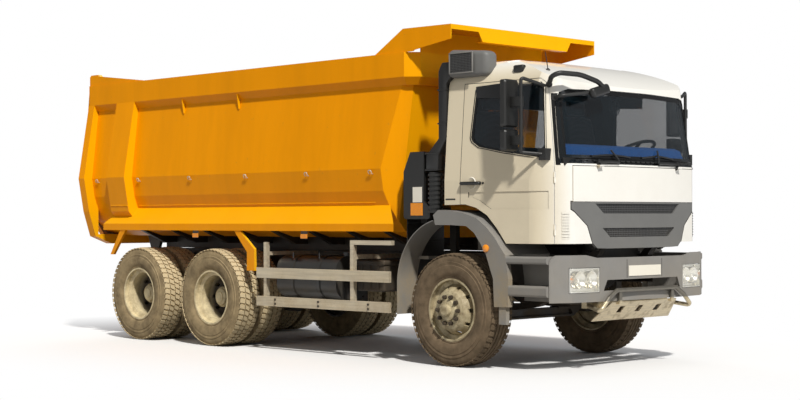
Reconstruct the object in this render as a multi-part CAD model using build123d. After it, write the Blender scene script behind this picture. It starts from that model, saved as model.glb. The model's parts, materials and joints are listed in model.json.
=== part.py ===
"""Three-axle dump truck: cab over the engine, half-pipe tipping bed with a top-hung tailgate,
front telescopic hoist, tilting cab, steered front wheels and twin rear wheels.

Millimetres. While building, X runs forward from the front axle, Y to the driver's side (left) and
Z up from the ground. write() moves everything so the origin is the middle of the footprint.
Most pieces are drawn for the right side (Y negative) and mirrored.
"""

from build123d import *
import os
from collections import namedtuple
from math import atan2, cos, degrees, radians, sin

# ---------------------------------------------------------------- overall
truck_front = 1420.0
truck_rear = -6240.0
moving_gap = 6.0
pin_clearance = 0.3

# ---------------------------------------------------------------- wheels and axles
front_axle_x = 0.0
rear_axle_xs = (-3600.0, -4950.0)
tyre_radius = 535.0
tyre_width = 300.0
tyre_shoulder = 34.0
rim_seat_radius = 290.0
rim_lip_radius = 298.0
rim_half_width = 126.0
rim_flange = 8.0
rim_well_radius = 250.0
rim_wall = 9.0
front_track_half = 1040.0
rear_outer_half = 1090.0
rear_inner_half = 760.0
hub_face_offset = 165.0
drum_radius = 205.0
kingpin_y = 855.0
kingpin_radius = 20.0
steer_arm = 200.0
spindle_radius = 36.0
axle_z = tyre_radius
hand_hole_count = 10
hand_hole_ring = 214.0
hand_hole_width = 38.0
hand_hole_depth = 26.0

# ---------------------------------------------------------------- frame
frame_outer_y = 430.0
frame_flange = 80.0
frame_web = 9.0
mount_y = frame_outer_y - frame_web
frame_bottom = 780.0
frame_top = 1050.0
frame_front_x = 1150.0
frame_rear_x = -5700.0

# ---------------------------------------------------------------- bed
bed_rear_x = -6150.0
bed_plate = 10.0
bed_wall_top = 2705.0
kink_z = 1890.0
kink_y = 1135.0
# Outside of the half-pipe from the floor's middle to the rail: (half width, height).
tub_section = (
    (650.0, 1200.0),
    (850.0, 1260.0),
    (980.0, 1380.0),
    (1050.0, 1530.0),
    (1100.0, 1670.0),
    (kink_y, kink_z),
    (1040.0, bed_wall_top),
)
front_wall_x = -820.0
front_wall_half = 965.0
front_wall_lean = 0.147
rail_outer_y = 1100.0
rail_inner_y = 1026.0
rail_bottom = 2780.0
rail_top = 3020.0
rail_rear_x = -6140.0
rail_corner_x = -690.0
beam_front_x = -575.0
beam_inner_x = -712.0
beam_half = 985.0
# Bolsters round the tub: (rear face, front face, whether it runs under the floor).
rib_table = ((-6150.0, -6030.0, True), (-5560.0, -5200.0, False))
rib_outer_y = 1250.0
ledge_y = 1200.0
ledge_top = 1345.0
ledge_bottom = 1270.0
ledge_sheet = 8.0
ledge_rear_x = -5700.0
ledge_front_x = -735.0
ledge_end_slant = 200.0
canopy_half = 1090.0
canopy_front_x = -70.0
canopy_break_x = -715.0
canopy_rear_x = -1110.0
canopy_rise = 230.0
canopy_top = rail_top + canopy_rise
canopy_sheet = 10.0
tip_x = -5620.0
tip_z = 1000.0
tip_tube_radius = 40.0
subframe_bottom = frame_top + moving_gap
gate_pin_x = -6040.0
gate_pin_z = rail_top + 68.0
gate_pin_radius = 20.0

# ---------------------------------------------------------------- hoist
hoist_x = -370.0
hoist_base_z = 1100.0
hoist_eye_z = 2600.0
# Radii from the barrel inwards, and how far each top stands above the one outside it.
hoist_radii = (105.0, 90.0, 76.0, 62.0, 46.0)
hoist_wall = 10.0
hoist_collar = 20.0
hoist_eye_radius = 40.0
hoist_pin_radius = 25.0

# ---------------------------------------------------------------- cab
cab_half = 1130.0
cab_front_x = 1335.0
cab_rear_x = -120.0
cab_wall = 45.0
cab_sill_z = 1165.0
cab_front_bottom = 1118.0
cab_belt_z = 1870.0
cab_roof_z = 2892.0
cab_split_z = 2650.0
windscreen_rake = 10.2
door_rear_x = 85.0
door_front_x = 1150.0
door_top_z = 2655.0
glass = 6.0
cab_pivot_x = 1185.0
cab_pivot_z = 1138.0
cab_pivot_radius = 28.0
door_hinge_x = 1153.0
door_hinge_y = cab_half - 90.0
door_hinge_zs = (1290.0, 1760.0)
hinge_knuckle = 10.0
hinge_pin = 5.0
hinge_length = 50.0
flap_hinge_x = cab_front_x + 6.0
flap_hinge_z = 1868.0
flap_knuckle = 8.0
flap_pin = 4.0
flap_hinge_y = 600.0
grille_gap = 9.0
dash_half = cab_half - 145.0
press_depth = 8.0

duct_foot_x = -320.0
duct_foot_z = 1850.0
duct_y = 1042.0

# ---------------------------------------------------------------- front end and sides
bumper_bottom = 640.0
bumper_top = 1063.0
bumper_front_x = 1376.0
bumper_skin = 22.0
bumper_half = 1170.0
bumper_depth = 183.0
lamp_bottom = 722.0
lamp_top = 950.0
lamp_inner_y = 640.0
lamp_outer_y = 1010.0
side_y = 1200.0


# ---------------------------------------------------------------- helpers
def block(x0, x1, y0, y1, z0, z1):
    """A box between two corners."""
    return Pos((x0 + x1) / 2, (y0 + y1) / 2, (z0 + z1) / 2) * Box(x1 - x0, y1 - y0, z1 - z0)


def side_prism(outline, y_in, y_out):
    """An (x, z) outline run outwards on the right side, between two half widths."""
    face = make_face(Polyline(*[(x, -y_in, z) for x, z in outline], close=True))
    return extrude(face, amount=y_out - y_in, dir=(0, -1, 0))


def cross_prism(outline, x_rear, x_front):
    """A (y, z) outline run forward between two stations."""
    face = make_face(Polyline(*[(x_rear, y, z) for y, z in outline], close=True))
    return extrude(face, amount=x_front - x_rear, dir=(1, 0, 0))


def plan_prism(outline, z_low, z_high):
    """An (x, y) outline run upwards."""
    face = make_face(Polyline(*[(x, y, z_low) for x, y in outline], close=True))
    return extrude(face, amount=z_high - z_low, dir=(0, 0, 1))


def other_side(shape):
    return mirror(shape, about=Plane.XZ)


def pair(shape):
    """The right-hand shape and its left-hand twin, as separate solids."""
    return Compound([*shape.solids(), *other_side(shape).solids()])


def mirrored_section(half):
    """A half section from the middle outwards, closed with its mirror image."""
    return [(-y, z) for y, z in half] + [(y, z) for y, z in reversed(half)]


def rod(start, end, radius):
    """A round bar between two points."""
    start, end = Vector(*start), Vector(*end)
    base = Plane(origin=start, z_dir=(end - start).normalized())
    return extrude(base * Circle(radius), amount=(end - start).length)


def cylinder_y(x, z, radius, y0, y1):
    """A cylinder across the truck."""
    return rod((x, min(y0, y1), z), (x, max(y0, y1), z), radius)


def turned(profile, x, y, z, outboard):
    """A closed (distance outboard, radius) profile turned about a wheel's axis."""
    face = make_face(Polyline(*[(r, outboard * d) for d, r in profile], close=True))
    return Pos(x, y, z) * revolve(face, axis=Axis.Y)


def joined(*shapes):
    """One node of several solids."""
    return Compound([solid for shape in shapes for solid in shape.solids()])


def write(name, shape):
    os.makedirs("parts", exist_ok=True)
    middle = (truck_front + truck_rear) / 2
    export_step(Pos(-middle, 0, 0) * shape, f"parts/{name}.step")


# ---------------------------------------------------------------- wheels
def tyre(x, y):
    """One tyre: beads on the rim seats, bulged walls and square shoulders."""
    half = tyre_width / 2
    bead = rim_half_width - rim_flange
    crown = tyre_radius - 9.0
    start, foot = (rim_seat_radius, bead), (rim_lip_radius + 4.0, bead)
    wall = ThreePointArc(foot, (rim_seat_radius + 115.0, half), (tyre_radius - 45.0, half - 10.0))
    shoulder = Polyline(
        (tyre_radius - 45.0, half - 10.0),
        (crown, half - tyre_shoulder * 0.6),
        (tyre_radius, half - tyre_shoulder * 1.6),
        (tyre_radius, 0),
    )
    section = Curve() + Polyline((rim_seat_radius, 0), start, foot) + wall + shoulder
    section += mirror(section, about=Plane.XZ)
    return Pos(x, y, axle_z) * revolve(make_face(section), axis=Axis.Y)


def rim_ring():
    """Outside and inside of a rim from one lip to the other: (distance, radius)."""
    lip = rim_half_width
    bead = lip - rim_flange
    inner = rim_seat_radius - rim_wall
    well = rim_well_radius - rim_wall
    return [
        (lip, rim_lip_radius), (bead, rim_lip_radius), (bead, rim_seat_radius),
        (bead - 45, rim_seat_radius), (bead - 60, rim_well_radius), (-bead + 60, rim_well_radius),
        (-bead + 45, rim_seat_radius), (-bead, rim_seat_radius), (-bead, rim_lip_radius),
        (-lip, rim_lip_radius), (-lip, inner), (-bead + 42, inner), (-bead + 57, well),
        (bead - 57, well), (bead - 42, inner), (lip, inner),
    ]


def hand_holes(x, y, side, near, far):
    """Ring of openings through a wheel disc, between two distances outboard."""
    cut = []
    for number in range(hand_hole_count):
        turn = radians(360.0 / hand_hole_count * number)
        across, up = hand_hole_ring * cos(turn), hand_hole_ring * sin(turn)
        hole = Box(hand_hole_depth, abs(far - near), hand_hole_width)
        hole = Rot(0, -degrees(turn), 0) * hole
        cut.append(Pos(x + across, y + side * (near + far) / 2, axle_z + up) * hole)
    return joined(*cut)


def front_rim(x, y, side):
    """Domed disc that stands out past the lip, hub, brake drum and hand holes."""
    well = rim_well_radius - rim_wall
    face = hub_face_offset
    disc = [
        (48, well), (62, well - 6), (118, 205), (150, 180), (face, 150), (face, 60),
        (face - 14, 60), (face - 14, 146), (138, 174), (106, 197), (50, well - 22), (36, well),
    ]
    hub = [
        (-92, drum_radius), (20, drum_radius), (32, 150), (face - 14, 110), (face - 14, 112),
        (face + 22, 96), (face + 30, 60), (face + 62, 54), (face + 70, 40), (face + 70, 0),
        (90, 0), (90, spindle_radius + pin_clearance), (-92, spindle_radius + pin_clearance),
    ]
    plate = turned(disc, x, y, axle_z, side) - hand_holes(x, y, side, 30, 160)
    return turned(rim_ring(), x, y, axle_z, side) + plate + turned(hub, x, y, axle_z, side)


def twin_rims(x, side):
    """Two rims bolted back to back, with the deep dish outboard and the hub in it."""
    y_out, y_in = side * rear_outer_half, side * rear_inner_half
    well = rim_well_radius - rim_wall
    face = hub_face_offset
    dish_out = [
        (-38, well), (-54, well), (-118, 210), (-face + 10, 178), (-face + 10, 60), (-face, 60),
        (-face, 184), (-128, 218), (-60, well),
    ]
    dish_in = [(d * -1, r) for d, r in dish_out]
    hub = [
        (-face + 10, 120), (-40, 112), (-30, 96), (-10, 90), (0, 60), (10, 56), (10, 0),
        (-60, 0), (-60, spindle_radius + pin_clearance),
        (-440, spindle_radius + pin_clearance), (-440, drum_radius), (-200, drum_radius),
        (-190, 150), (-face, 120),
    ]
    whole = turned(rim_ring(), x, y_out, axle_z, side) + turned(rim_ring(), x, y_in, axle_z, side)
    dishes = turned(dish_out, x, y_out, axle_z, side) + turned(dish_in, x, y_in, axle_z, side)
    whole += dishes - hand_holes(x, y_out, side, -40, 40 - y_out * side + y_in * side)
    return whole + turned(hub, x, y_out, axle_z, side)


def knuckle():
    """Right steering knuckle: fork on the kingpin, spindle and the arm for the tie rod."""
    boss, ear = 45.0, 42.0
    beam_half_height = 55.0
    top = axle_z + beam_half_height + 1
    low = axle_z - beam_half_height - 1
    y = -kingpin_y
    upper = Pos(0, y, top + ear / 2) * Cylinder(boss, ear)
    lower = Pos(0, y, low - ear / 2) * Cylinder(boss, ear)
    web_in = boss + moving_gap
    web = block(-boss, boss, y - web_in - 30, y - web_in, low - ear, top + ear)
    caps = block(-boss, boss, y - web_in, y, top, top + ear)
    caps += block(-boss, boss, y - web_in, y, low - ear, low)
    pin = Pos(0, y, axle_z) * Cylinder(kingpin_radius, 2 * (beam_half_height + ear))
    spindle = cylinder_y(0, axle_z, spindle_radius, y - web_in - 20, y - web_in - 200)
    arm_z = low - ear
    arm = block(-steer_arm, -boss + 10, y - 22, y + 22, arm_z, arm_z + 26)
    arm += Pos(-steer_arm, y, arm_z + 13) * Cylinder(28, 26)
    ball = Pos(-steer_arm, y, arm_z - 22) * Cylinder(12, 44)
    return upper + lower + web + caps + pin + spindle + arm + ball


def tie_rod_bar():
    """Bar from knuckle to knuckle, an eye round each ball pin."""
    z = axle_z - 56 - 42 - 24
    bar = cylinder_y(-steer_arm, z, 18, -kingpin_y + 24, kingpin_y - 24)
    for side in (-1, 1):
        bar += Pos(-steer_arm, side * kingpin_y, z) * Cylinder(28, 38)
    for side in (-1, 1):
        bar -= Pos(-steer_arm, side * kingpin_y, z) * Cylinder(12 + pin_clearance, 60)
    return bar


def front_axle_beam():
    """Dropped I-beam with a boss round each kingpin and pads for the springs."""
    half = [(0, 500), (560, 500), (690, 572), (kingpin_y - 20, 588)]
    low = [(kingpin_y - 20, 482), (700, 476), (590, 405), (0, 405)]
    outline = half + low
    full = outline + [(-y, z) for y, z in reversed(outline) if y]
    beam = cross_prism(full, -48, 48)
    pocket = [(-540, 480), (540, 480), (572, 425), (-572, 425)]
    beam -= cross_prism(pocket, 14, 60)
    beam -= cross_prism(pocket, -60, -14)
    for side in (-1, 1):
        boss = Pos(0, side * kingpin_y, axle_z) * Cylinder(45, 110)
        beam += boss
        beam += block(-60, 60, side * 390 - 50, side * 390 + 50, 490, 506)
    for side in (-1, 1):
        beam -= Pos(0, side * kingpin_y, axle_z) * Cylinder(kingpin_radius + pin_clearance, 200)
    return beam


def leaf_spring(x, y, half_span, sag, z_seat, leaves, leaf, width):
    """A stack of arched leaves, each shorter than the one above it."""
    stack = None
    for number in range(leaves):
        span = half_span * (1 - 0.13 * (leaves - 1 - number))
        rise = sag * (span / half_span) ** 2
        z = z_seat + number * leaf
        arch = ThreePointArc((x - span, y, z + rise), (x, y, z), (x + span, y, z + rise))
        path = make_face(
            Curve() + arch + Line((x + span, y, z + rise), (x + span, y, z + rise + leaf))
            + ThreePointArc((x + span, y, z + rise + leaf), (x, y, z + leaf),
                            (x - span, y, z + rise + leaf))
            + Line((x - span, y, z + rise + leaf), (x - span, y, z + rise))
        )
        blade = extrude(path, amount=width / 2, dir=(0, 1, 0), both=True)
        stack = blade if stack is None else stack + blade
    return stack


def front_springs():
    """Leaf packs between the axle pads and hangers under the frame."""
    half_span, sag, leaf, leaves = 760.0, 150.0, 16.0, 4
    y, z_seat = -390.0, 506.0
    pack = leaf_spring(0, y, half_span, sag, z_seat, leaves, leaf, 80)
    tip_height = z_seat + sag + leaves * leaf
    for x in (-half_span + 30, half_span - 30):
        pack += block(x - 45, x + 45, y - 40, y + 40, tip_height - 30, frame_bottom)
    pack += block(-60, 60, y - 46, y + 46, z_seat + leaves * leaf, z_seat + leaves * leaf + 24)
    return pair(pack)


def rear_axles():
    """Two banjo axles with their spindles; the first carries the shaft on to the second."""
    solids = []
    nose = (330.0, 60.0)
    for number, x in enumerate(rear_axle_xs):
        body = cylinder_y(x, axle_z, 70, -640, 640)
        body += cylinder_y(x, axle_z, spindle_radius, -1020, 1020)
        body += rod((x - 62, 0, axle_z), (x + 62, 0, axle_z), 205)
        body += rod((x - 118, 0, axle_z), (x - 60, 0, axle_z), 150)
        body += rod((x + 60, 0, axle_z), (x + 150, 0, axle_z), 158)
        body += rod((x, 0, axle_z), (x + nose[0], 0, axle_z + nose[1]), 75)
        if number == 0:
            end = rear_axle_xs[1] + nose[0] + 14
            body += rod((x - 100, 0, axle_z + 20), (end, 0, axle_z + nose[1]), 45)
        solids += body.solids()
    return Compound(solids)


def rear_springs():
    """Inverted bogie springs on a trunnion, resting on the axles."""
    x = sum(rear_axle_xs) / 2
    half = (rear_axle_xs[0] - rear_axle_xs[1]) / 2
    y = -500.0
    thick = 96.0
    z_end = axle_z + 70.0
    arch = Curve() + ThreePointArc(
        (x - half - 60, y, z_end), (x, y, z_end + 70), (x + half + 60, y, z_end))
    arch += Line((x + half + 60, y, z_end), (x + half + 60, y, z_end + 30))
    arch += ThreePointArc((x + half + 60, y, z_end + 30), (x, y, z_end + 70 + thick),
                          (x - half - 60, y, z_end + 30))
    arch += Line((x - half - 60, y, z_end + 30), (x - half - 60, y, z_end))
    spring = extrude(make_face(arch), amount=40, dir=(0, 1, 0), both=True)
    bracket = side_prism(
        [(x - 240, frame_top - 30), (x + 240, frame_top - 30), (x + 130, z_end + 130 + thick),
         (x - 130, z_end + 130 + thick)], frame_outer_y, frame_outer_y + 24)
    seat = block(x - 130, x + 130, y - 50, -frame_outer_y, z_end + 60 + thick, z_end + 130 + thick)
    for axle_x in rear_axle_xs:
        spring += block(axle_x - 55, axle_x + 55, y - 40, y + 40, z_end + pin_clearance, z_end + 50)
    return pair(spring + seat + bracket)


# ---------------------------------------------------------------- frame and running gear
def ladder_frame():
    """Two channels joined by round and boxed cross members."""
    inner = frame_outer_y - frame_flange
    rail = block(frame_rear_x, frame_front_x, -frame_outer_y, -inner, frame_bottom, frame_top)
    rail -= block(frame_rear_x - 1, frame_front_x + 1, -frame_outer_y + frame_web, -inner + 1,
                  frame_bottom + frame_web, frame_top - frame_web)
    whole = rail + other_side(rail)
    # Cross members: (station, height, radius).
    for x, z, radius in (
        (1080, 860, 45), (-1300, 985, 45), (-2300, 985, 45), (-3100, 985, 45),
        (-4275, 960, 70), (-5400, 900, 55),
    ):
        whole += cylinder_y(x, z, radius, -frame_outer_y + 4, frame_outer_y - 4)
    tube_reach = 530.0
    whole += cylinder_y(tip_x, tip_z, tip_tube_radius, -tube_reach, tube_reach)
    return whole


def powertrain():
    """Engine mass with its fan, gearbox on its mounts and the shaft to the first rear axle."""
    case = block(-180, 760, -230, 230, 720, 1120)
    heads = block(-140, 720, -150, 190, 1120, 1290)
    sump = plan_prism([(-100, -190), (640, -190), (640, 190), (-100, 190)], 560, 720)
    sump = chamfer(sump.edges().group_by(Axis.Z)[0], 60)
    fan = rod((760, 0, 1010), (850, 0, 1010), 60) + rod((850, 0, 1010), (890, 0, 1010), 290)
    engine = case + heads + sump + fan + block(80, 200, -mount_y, mount_y, 900, 990)
    bell = rod((-180, 0, 880), (-255, 0, 880), 225)
    box = rod((-255, 0, 830), (-980, 0, 830), 145)
    flange = rod((-980, 0, 830), (-1040, 0, 830), 75)
    mount = block(-900, -800, -mount_y, mount_y, 800, 850)
    shaft_end = rear_axle_xs[0] + 330 + 14
    shaft = rod((-1020, 0, 830), (shaft_end, 0, axle_z + 60), 50)
    return engine + bell + box + flange + mount + shaft


def radiator():
    """Cooler pack upright ahead of the fan, on feet on the frame."""
    core = block(940, 1040, -340, 340, 900, 1400)
    foot = block(960, 1020, -400, 400, frame_top, frame_top + 30)
    return core + foot


def hoist_mount():
    """Cross beam between the frame rails with the two ears of the hoist's foot pin."""
    beam = block(hoist_x - 90, hoist_x + 90, -mount_y, mount_y, 985, 1035)
    for side in (-1, 1):
        y0, y1 = sorted((side * 60, side * 82))
        ear = side_prism(
            [(hoist_x - 70, 1035), (hoist_x + 70, 1035), (hoist_x + 34, hoist_base_z + 20),
             (hoist_x - 34, hoist_base_z + 20)], 0, 22)
        ear = Pos(0, y1, 0) * ear + cylinder_y(hoist_x, hoist_base_z, 44, y0, y1)
        beam += ear
    beam += cylinder_y(hoist_x, hoist_base_z, hoist_pin_radius, -96, 96)
    return beam


def fuel_tank():
    """Rounded tank on the right, standing out from the frame."""
    tank = block(-2590, -1660, -1120, -680, 570, 1010)
    tank = fillet(tank.edges().filter_by(Axis.X), 150)
    cap = rod((-1720, -900, 1008), (-1720, -900, 1050), 45)
    return tank + cap


def tank_brackets():
    """Two L brackets that carry the tank from the frame's web."""
    solids = []
    for x in (-2360, -1950):
        arm = block(x - 35, x + 35, -1060, -frame_outer_y, 520, 570)
        post = block(x - 35, x + 35, -frame_outer_y - 60, -frame_outer_y, 520, 980)
        solids += (arm + post).solids()
    return Compound(solids)


def side_box(x0, x1, y_in, y_out, z0, z1, radius):
    box = block(x0, x1, -y_out, -y_in, z0, z1)
    return fillet(box.edges().filter_by(Axis.X), radius)


def battery_box():
    """Battery and tool box on the left, flat on the frame's web."""
    return other_side(side_box(-1960, -1180, frame_outer_y, 1110, 600, 980, 30))


def air_tanks():
    """Air reservoir on the left, on two arms from the frame."""
    tank = rod((-2700, -900, 800), (-2060, -900, 800), 150)
    for x in (-2570, -2190):
        tank += block(x - 30, x + 30, -800, -frame_outer_y, 790, 850)
    return other_side(tank)


def side_guard():
    """Two rails on posts with arms back to the frame."""
    y_in, y_out = side_y - 30, side_y
    rails = block(-2830, -805, -y_out, -y_in, 770, 880) + block(-2830, -805, -y_out, -y_in, 475, 577)
    posts = block(-2745, -2700, -y_in, -y_in + 45, 475, 1150)
    posts += block(-2745, -2700, -y_in, -frame_outer_y, 1010, 1050)
    posts += block(-1395, -1345, -y_in, -y_in + 45, 475, 1180)
    posts += block(-1395, -805, -y_in, -y_in + 45, 1135, 1180)
    posts += block(-1395, -1345, -y_in, -frame_outer_y, 990, 1035)
    return rails + posts


# ---------------------------------------------------------------- front end
def bumper_plan():
    """Plan of the bumper's outside: a shallow arc with slanted, turned ends."""
    front, half = bumper_front_x, bumper_half
    corner_x, corner_y = front - 72, half - 185
    slant_x, slant_y = front - 160, half - 35
    end_x = front - bumper_depth
    curve = ThreePointArc((corner_x, -corner_y), (front, 0), (corner_x, corner_y))
    turn = ThreePointArc((end_x, -half), (front - 171, -half + 11), (slant_x, -slant_y))
    right = turn + Line((slant_x, -slant_y), (corner_x, -corner_y))
    left = mirror(right, about=Plane.XZ)
    back = Polyline((end_x, half), (end_x - 200, half), (end_x - 200, -half), (end_x, -half))
    return make_face(Curve() + curve + right + left + back)


def bumper():
    """Moulded bumper skin with lamp pockets, an air slot and brackets to the frame."""
    plan = bumper_plan()
    height = bumper_top - bumper_bottom
    outer = Pos(0, 0, bumper_bottom) * extrude(plan, amount=height)
    inner = Pos(0, 0, bumper_bottom - 1) * extrude(
        offset(plan, amount=-bumper_skin, kind=Kind.INTERSECTION), amount=height + 2)
    skin = outer - inner
    back_x = bumper_front_x - bumper_depth
    skin -= block(0, back_x, -2000, 2000, 0, 2000)
    dip = [(840, bumper_top + 5), (670, bumper_top - 27)]
    skin -= cross_prism(mirrored_section(dip), back_x, bumper_front_x + 100)
    slot = [(590, bumper_bottom + 96), (540, bumper_bottom + 194)]
    skin -= cross_prism(mirrored_section(slot), bumper_front_x - 76, bumper_front_x + 100)
    shoulder = cross_prism(
        [(bumper_half - 75, bumper_top + 5), (bumper_half - 42, bumper_top - 14),
         (bumper_half - 10, bumper_top - 46), (bumper_half + 5, bumper_top - 80),
         (bumper_half + 5, bumper_top + 5)], back_x - 10, bumper_front_x)
    skin -= joined(shoulder, other_side(shoulder))
    pocket = block(back_x + 47, bumper_front_x + 100, -lamp_outer_y, -lamp_inner_y,
                   lamp_bottom, lamp_top)
    skin -= joined(pocket, other_side(pocket))
    arm = block(frame_front_x, bumper_front_x - bumper_skin - 2, -frame_outer_y,
                -frame_outer_y + frame_flange, 840, 900)
    return skin + arm + other_side(arm)


def headlamps():
    """One lamp block each side, filling the bumper's pocket."""
    plan = bumper_plan()
    height = lamp_top - lamp_bottom
    form = Pos(0, 0, lamp_bottom) * extrude(plan, amount=height)
    form -= Pos(0, 0, lamp_bottom - 20) * extrude(
        offset(plan, amount=-60, kind=Kind.INTERSECTION), amount=height + 40)
    lamp = form & block(1240, 1500, -lamp_outer_y, -lamp_inner_y, lamp_bottom, lamp_top)
    return pair(lamp)


def under_guard():
    """Bent tube and sloping skid plate under the bumper, on legs from the frame."""
    radius = 20.0
    x = truck_front - radius
    route = [(1180, -600, 595), (x, -700, 556), (x, -576, 673), (x, -458, 738), (x, 458, 738),
             (x, 576, 673), (x, 700, 556), (1180, 600, 595)]
    path = FilletPolyline(*route, radius=30)
    tube = sweep(Plane(origin=path @ 0, z_dir=path % 0) * Circle(radius), path=path)
    slope = side_prism([(1366, 634), (1374, 627), (1206, 452), (1198, 459)], -600, 600)
    skid = slope & cross_prism(mirrored_section([(490, 640), (600, 445)]), 1100, 1450)
    for y in (-280, 0, 280):
        skid -= block(1150, 1450, y - 37, y + 37, 525, 585)
    strap = side_prism([(1345, 610), (1345, 630), (x - 16, 632), (x - 16, 735), (x, 735), (x, 610)],
                       380, 420)
    bar = block(1120, 1180, -620, 620, 570, 630)
    leg = block(1120, 1308, -430, -350, 570, 600) + block(1080, 1150, -430, -350, 570, frame_bottom)
    side = leg + strap
    return tube + skid + bar + side + other_side(side)


flare_top = ((-205, 1429), (-139, 1476), (17, 1469), (183, 1446), (347, 1399), (471, 1316),
             (569, 1225), (642, 1135), (702, 1063), (737, 845), (737, 590))
flare_low = ((566, 586), (555, 842), (519, 932), (470, 1059), (396, 1169), (322, 1261),
             (221, 1325), (16, 1334), (-179, 1334))
liner_y = 566.0
liner_sheet = 8.0


def entry_steps():
    """Two deep treads in a recess between the wheel arch and the bumper."""
    front = bumper_front_x - bumper_depth - moving_gap
    back = block(640, front, -975, -950, 640, 1050)
    treads = []
    for z_low, z_high in ((982, 1050), (690, 787)):
        tread = block(617, front, -side_y, -965, z_low, z_high)
        outer = tread.edges().filter_by(Axis.X).group_by(Axis.Y)[0]
        treads.append(fillet(outer, 22))
    arms = block(860, 940, -965, -frame_outer_y, 860, 940)
    room = side_prism([*flare_top, (-190, 590)], 900, side_y + 10)
    whole = back + arms
    for tread in treads:
        whole += tread
    return whole - room


def arch_flares():
    """Moulded arch over each front wheel, its liner deck and the inner skirt on the frame."""
    arch = side_prism([*flare_top, *flare_low], side_y - 60, side_y)
    arch += side_prism([(615, 428), (700, 428), (700, 600), (615, 600)], side_y - 60, side_y - 12)
    deck_top = flare_top[:9]
    deck = side_prism([*deck_top, *[(x - 14, z - 24) for x, z in reversed(deck_top)]],
                      liner_y, side_y - 60)
    skirt = side_prism([(-200, 1090), *[(x - 7, z - 12) for x, z in deck_top[:8]], (642, 1090)],
                       liner_y, liner_y + liner_sheet)
    arm = block(180, 240, -liner_y - liner_sheet, -frame_outer_y, 1092, 1124)
    arm += block(180, 240, -frame_outer_y - 40, -frame_outer_y, 990, 1124)
    return arch + deck + skirt + arm


def rear_front_fenders():
    """Thin rear half of each front mudguard, curving down behind the wheel."""
    t = liner_sheet
    outer = ThreePointArc((-216, 1378), (-563, 1150), (-694, 760)) + Line((-694, 760), (-696, 470))
    inner = Line((-696 + t, 470), (-694 + t, 760)) + ThreePointArc(
        (-694 + t, 760), (-563 + t * 0.8, 1150 - t * 0.6), (-216, 1378 - t))
    ends = Line((-216, 1378 - t), (-216, 1378)) + Line((-696, 470), (-696 + t, 470))
    sheet = side_zone(make_face(Curve() + outer + ends + inner), 930, side_y)
    arm = block(-560, -500, -960, -frame_outer_y, 1000, 1030)
    foot = side_prism([(-695, 1000), (-500, 1000), (-500, 1030), (-680, 1030)], 930, 960)
    return sheet + (foot - side_zone(make_face(Curve() + outer + ends + inner), 900, 1000)) + arm


def cab_mounts():
    """Front pivot tube with its brackets, and the rear hoop the cab rests on."""
    reach = 560
    tube = cylinder_y(cab_pivot_x, cab_pivot_z, cab_pivot_radius, -reach, reach)
    grip = cab_pivot_radius + 6
    arm = side_prism(
        [(frame_front_x - 100, frame_top), (frame_front_x, frame_top),
         (cab_pivot_x + grip, cab_pivot_z), (cab_pivot_x - grip, cab_pivot_z)],
        frame_outer_y - frame_flange, frame_outer_y)
    tube += arm
    tube += other_side(arm)
    hoop = block(-110, -50, -reach, reach, 1400, 1460)
    leg = block(-110, -50, -frame_outer_y, -frame_outer_y + 70, frame_top, 1400)
    pad = block(-110, -30, -reach, -reach + 120, 1460, 1517)
    hoop += leg + pad
    hoop += other_side(leg)
    hoop += other_side(pad)
    return Compound([*tube.solids(), *hoop.solids()])


# ---------------------------------------------------------------- cab
def cab_plan(inset):
    """Plan of the cab: long rear part, turned corners and a shallow front arc."""
    turn_x, mid_x, end_x = cab_front_x - 405, cab_front_x - 177, cab_front_x - 63
    mid_y, end_y = cab_half - 90, cab_half - 225
    front = ThreePointArc((end_x, -end_y), (cab_front_x, 0), (end_x, end_y))
    right = ThreePointArc((turn_x, -cab_half), (mid_x, -mid_y), (end_x, -end_y))
    left = ThreePointArc((end_x, end_y), (mid_x, mid_y), (turn_x, cab_half))
    back = Polyline((turn_x, cab_half), (-900, cab_half), (-900, -cab_half), (turn_x, -cab_half))
    face = make_face(Curve() + front + right + left + back)
    return offset(face, amount=-inset, kind=Kind.INTERSECTION) if inset else face


cab_arch = ((653, cab_sill_z), (545, 1300), (420, 1425), (283, 1495), (145, 1527))


def cab_side_face(inset, closed_floor):
    """Side view of the cab; without its floor it runs on down."""
    rear, front = cab_rear_x + inset, 1500.0
    if closed_floor:
        low = [(1500, cab_front_bottom), (1200, cab_front_bottom), (1190, cab_sill_z), *cab_arch,
               (rear, 1523)]
    else:
        low = [(1500, 900), (rear, 900)]
    roof_edge = (440, cab_roof_z - inset)
    brow = (1205 - inset, cab_roof_z - 282 - inset * 0.4)
    crest = (850 - inset * 0.35, cab_roof_z - 112 - inset * 0.93)
    roof = ThreePointArc(roof_edge, crest, brow)
    top = Polyline((rear, low[-1][1]), (rear, cab_roof_z - inset), roof_edge)
    front_line = Polyline(brow, (front, brow[1] - 10), *low)
    return make_face(Curve() + top + roof + front_line)


def cab_front_face(inset):
    """Front view: upright sides to the belt, tumblehome and a crowned roof."""
    half = cab_half - inset
    shoulder = (cab_half - 68 - inset, cab_roof_z - 272)
    edge = (cab_half - 409 - inset * 0.4, cab_roof_z - 26 - inset)
    corner = (cab_half - 145 - inset, cab_roof_z - 102 - inset * 0.7)
    side = Polyline((-half, 900), (-half, 1750), (-shoulder[0], shoulder[1]))
    turn = ThreePointArc((-shoulder[0], shoulder[1]), (-corner[0], corner[1]), (-edge[0], edge[1]))
    crown = ThreePointArc((-edge[0], edge[1]), (0, cab_roof_z - inset), edge)
    half_line = Curve() + side + turn
    return make_face(
        half_line + crown + mirror(half_line, about=Plane.YZ) + Line((half, 900), (-half, 900)))


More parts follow.
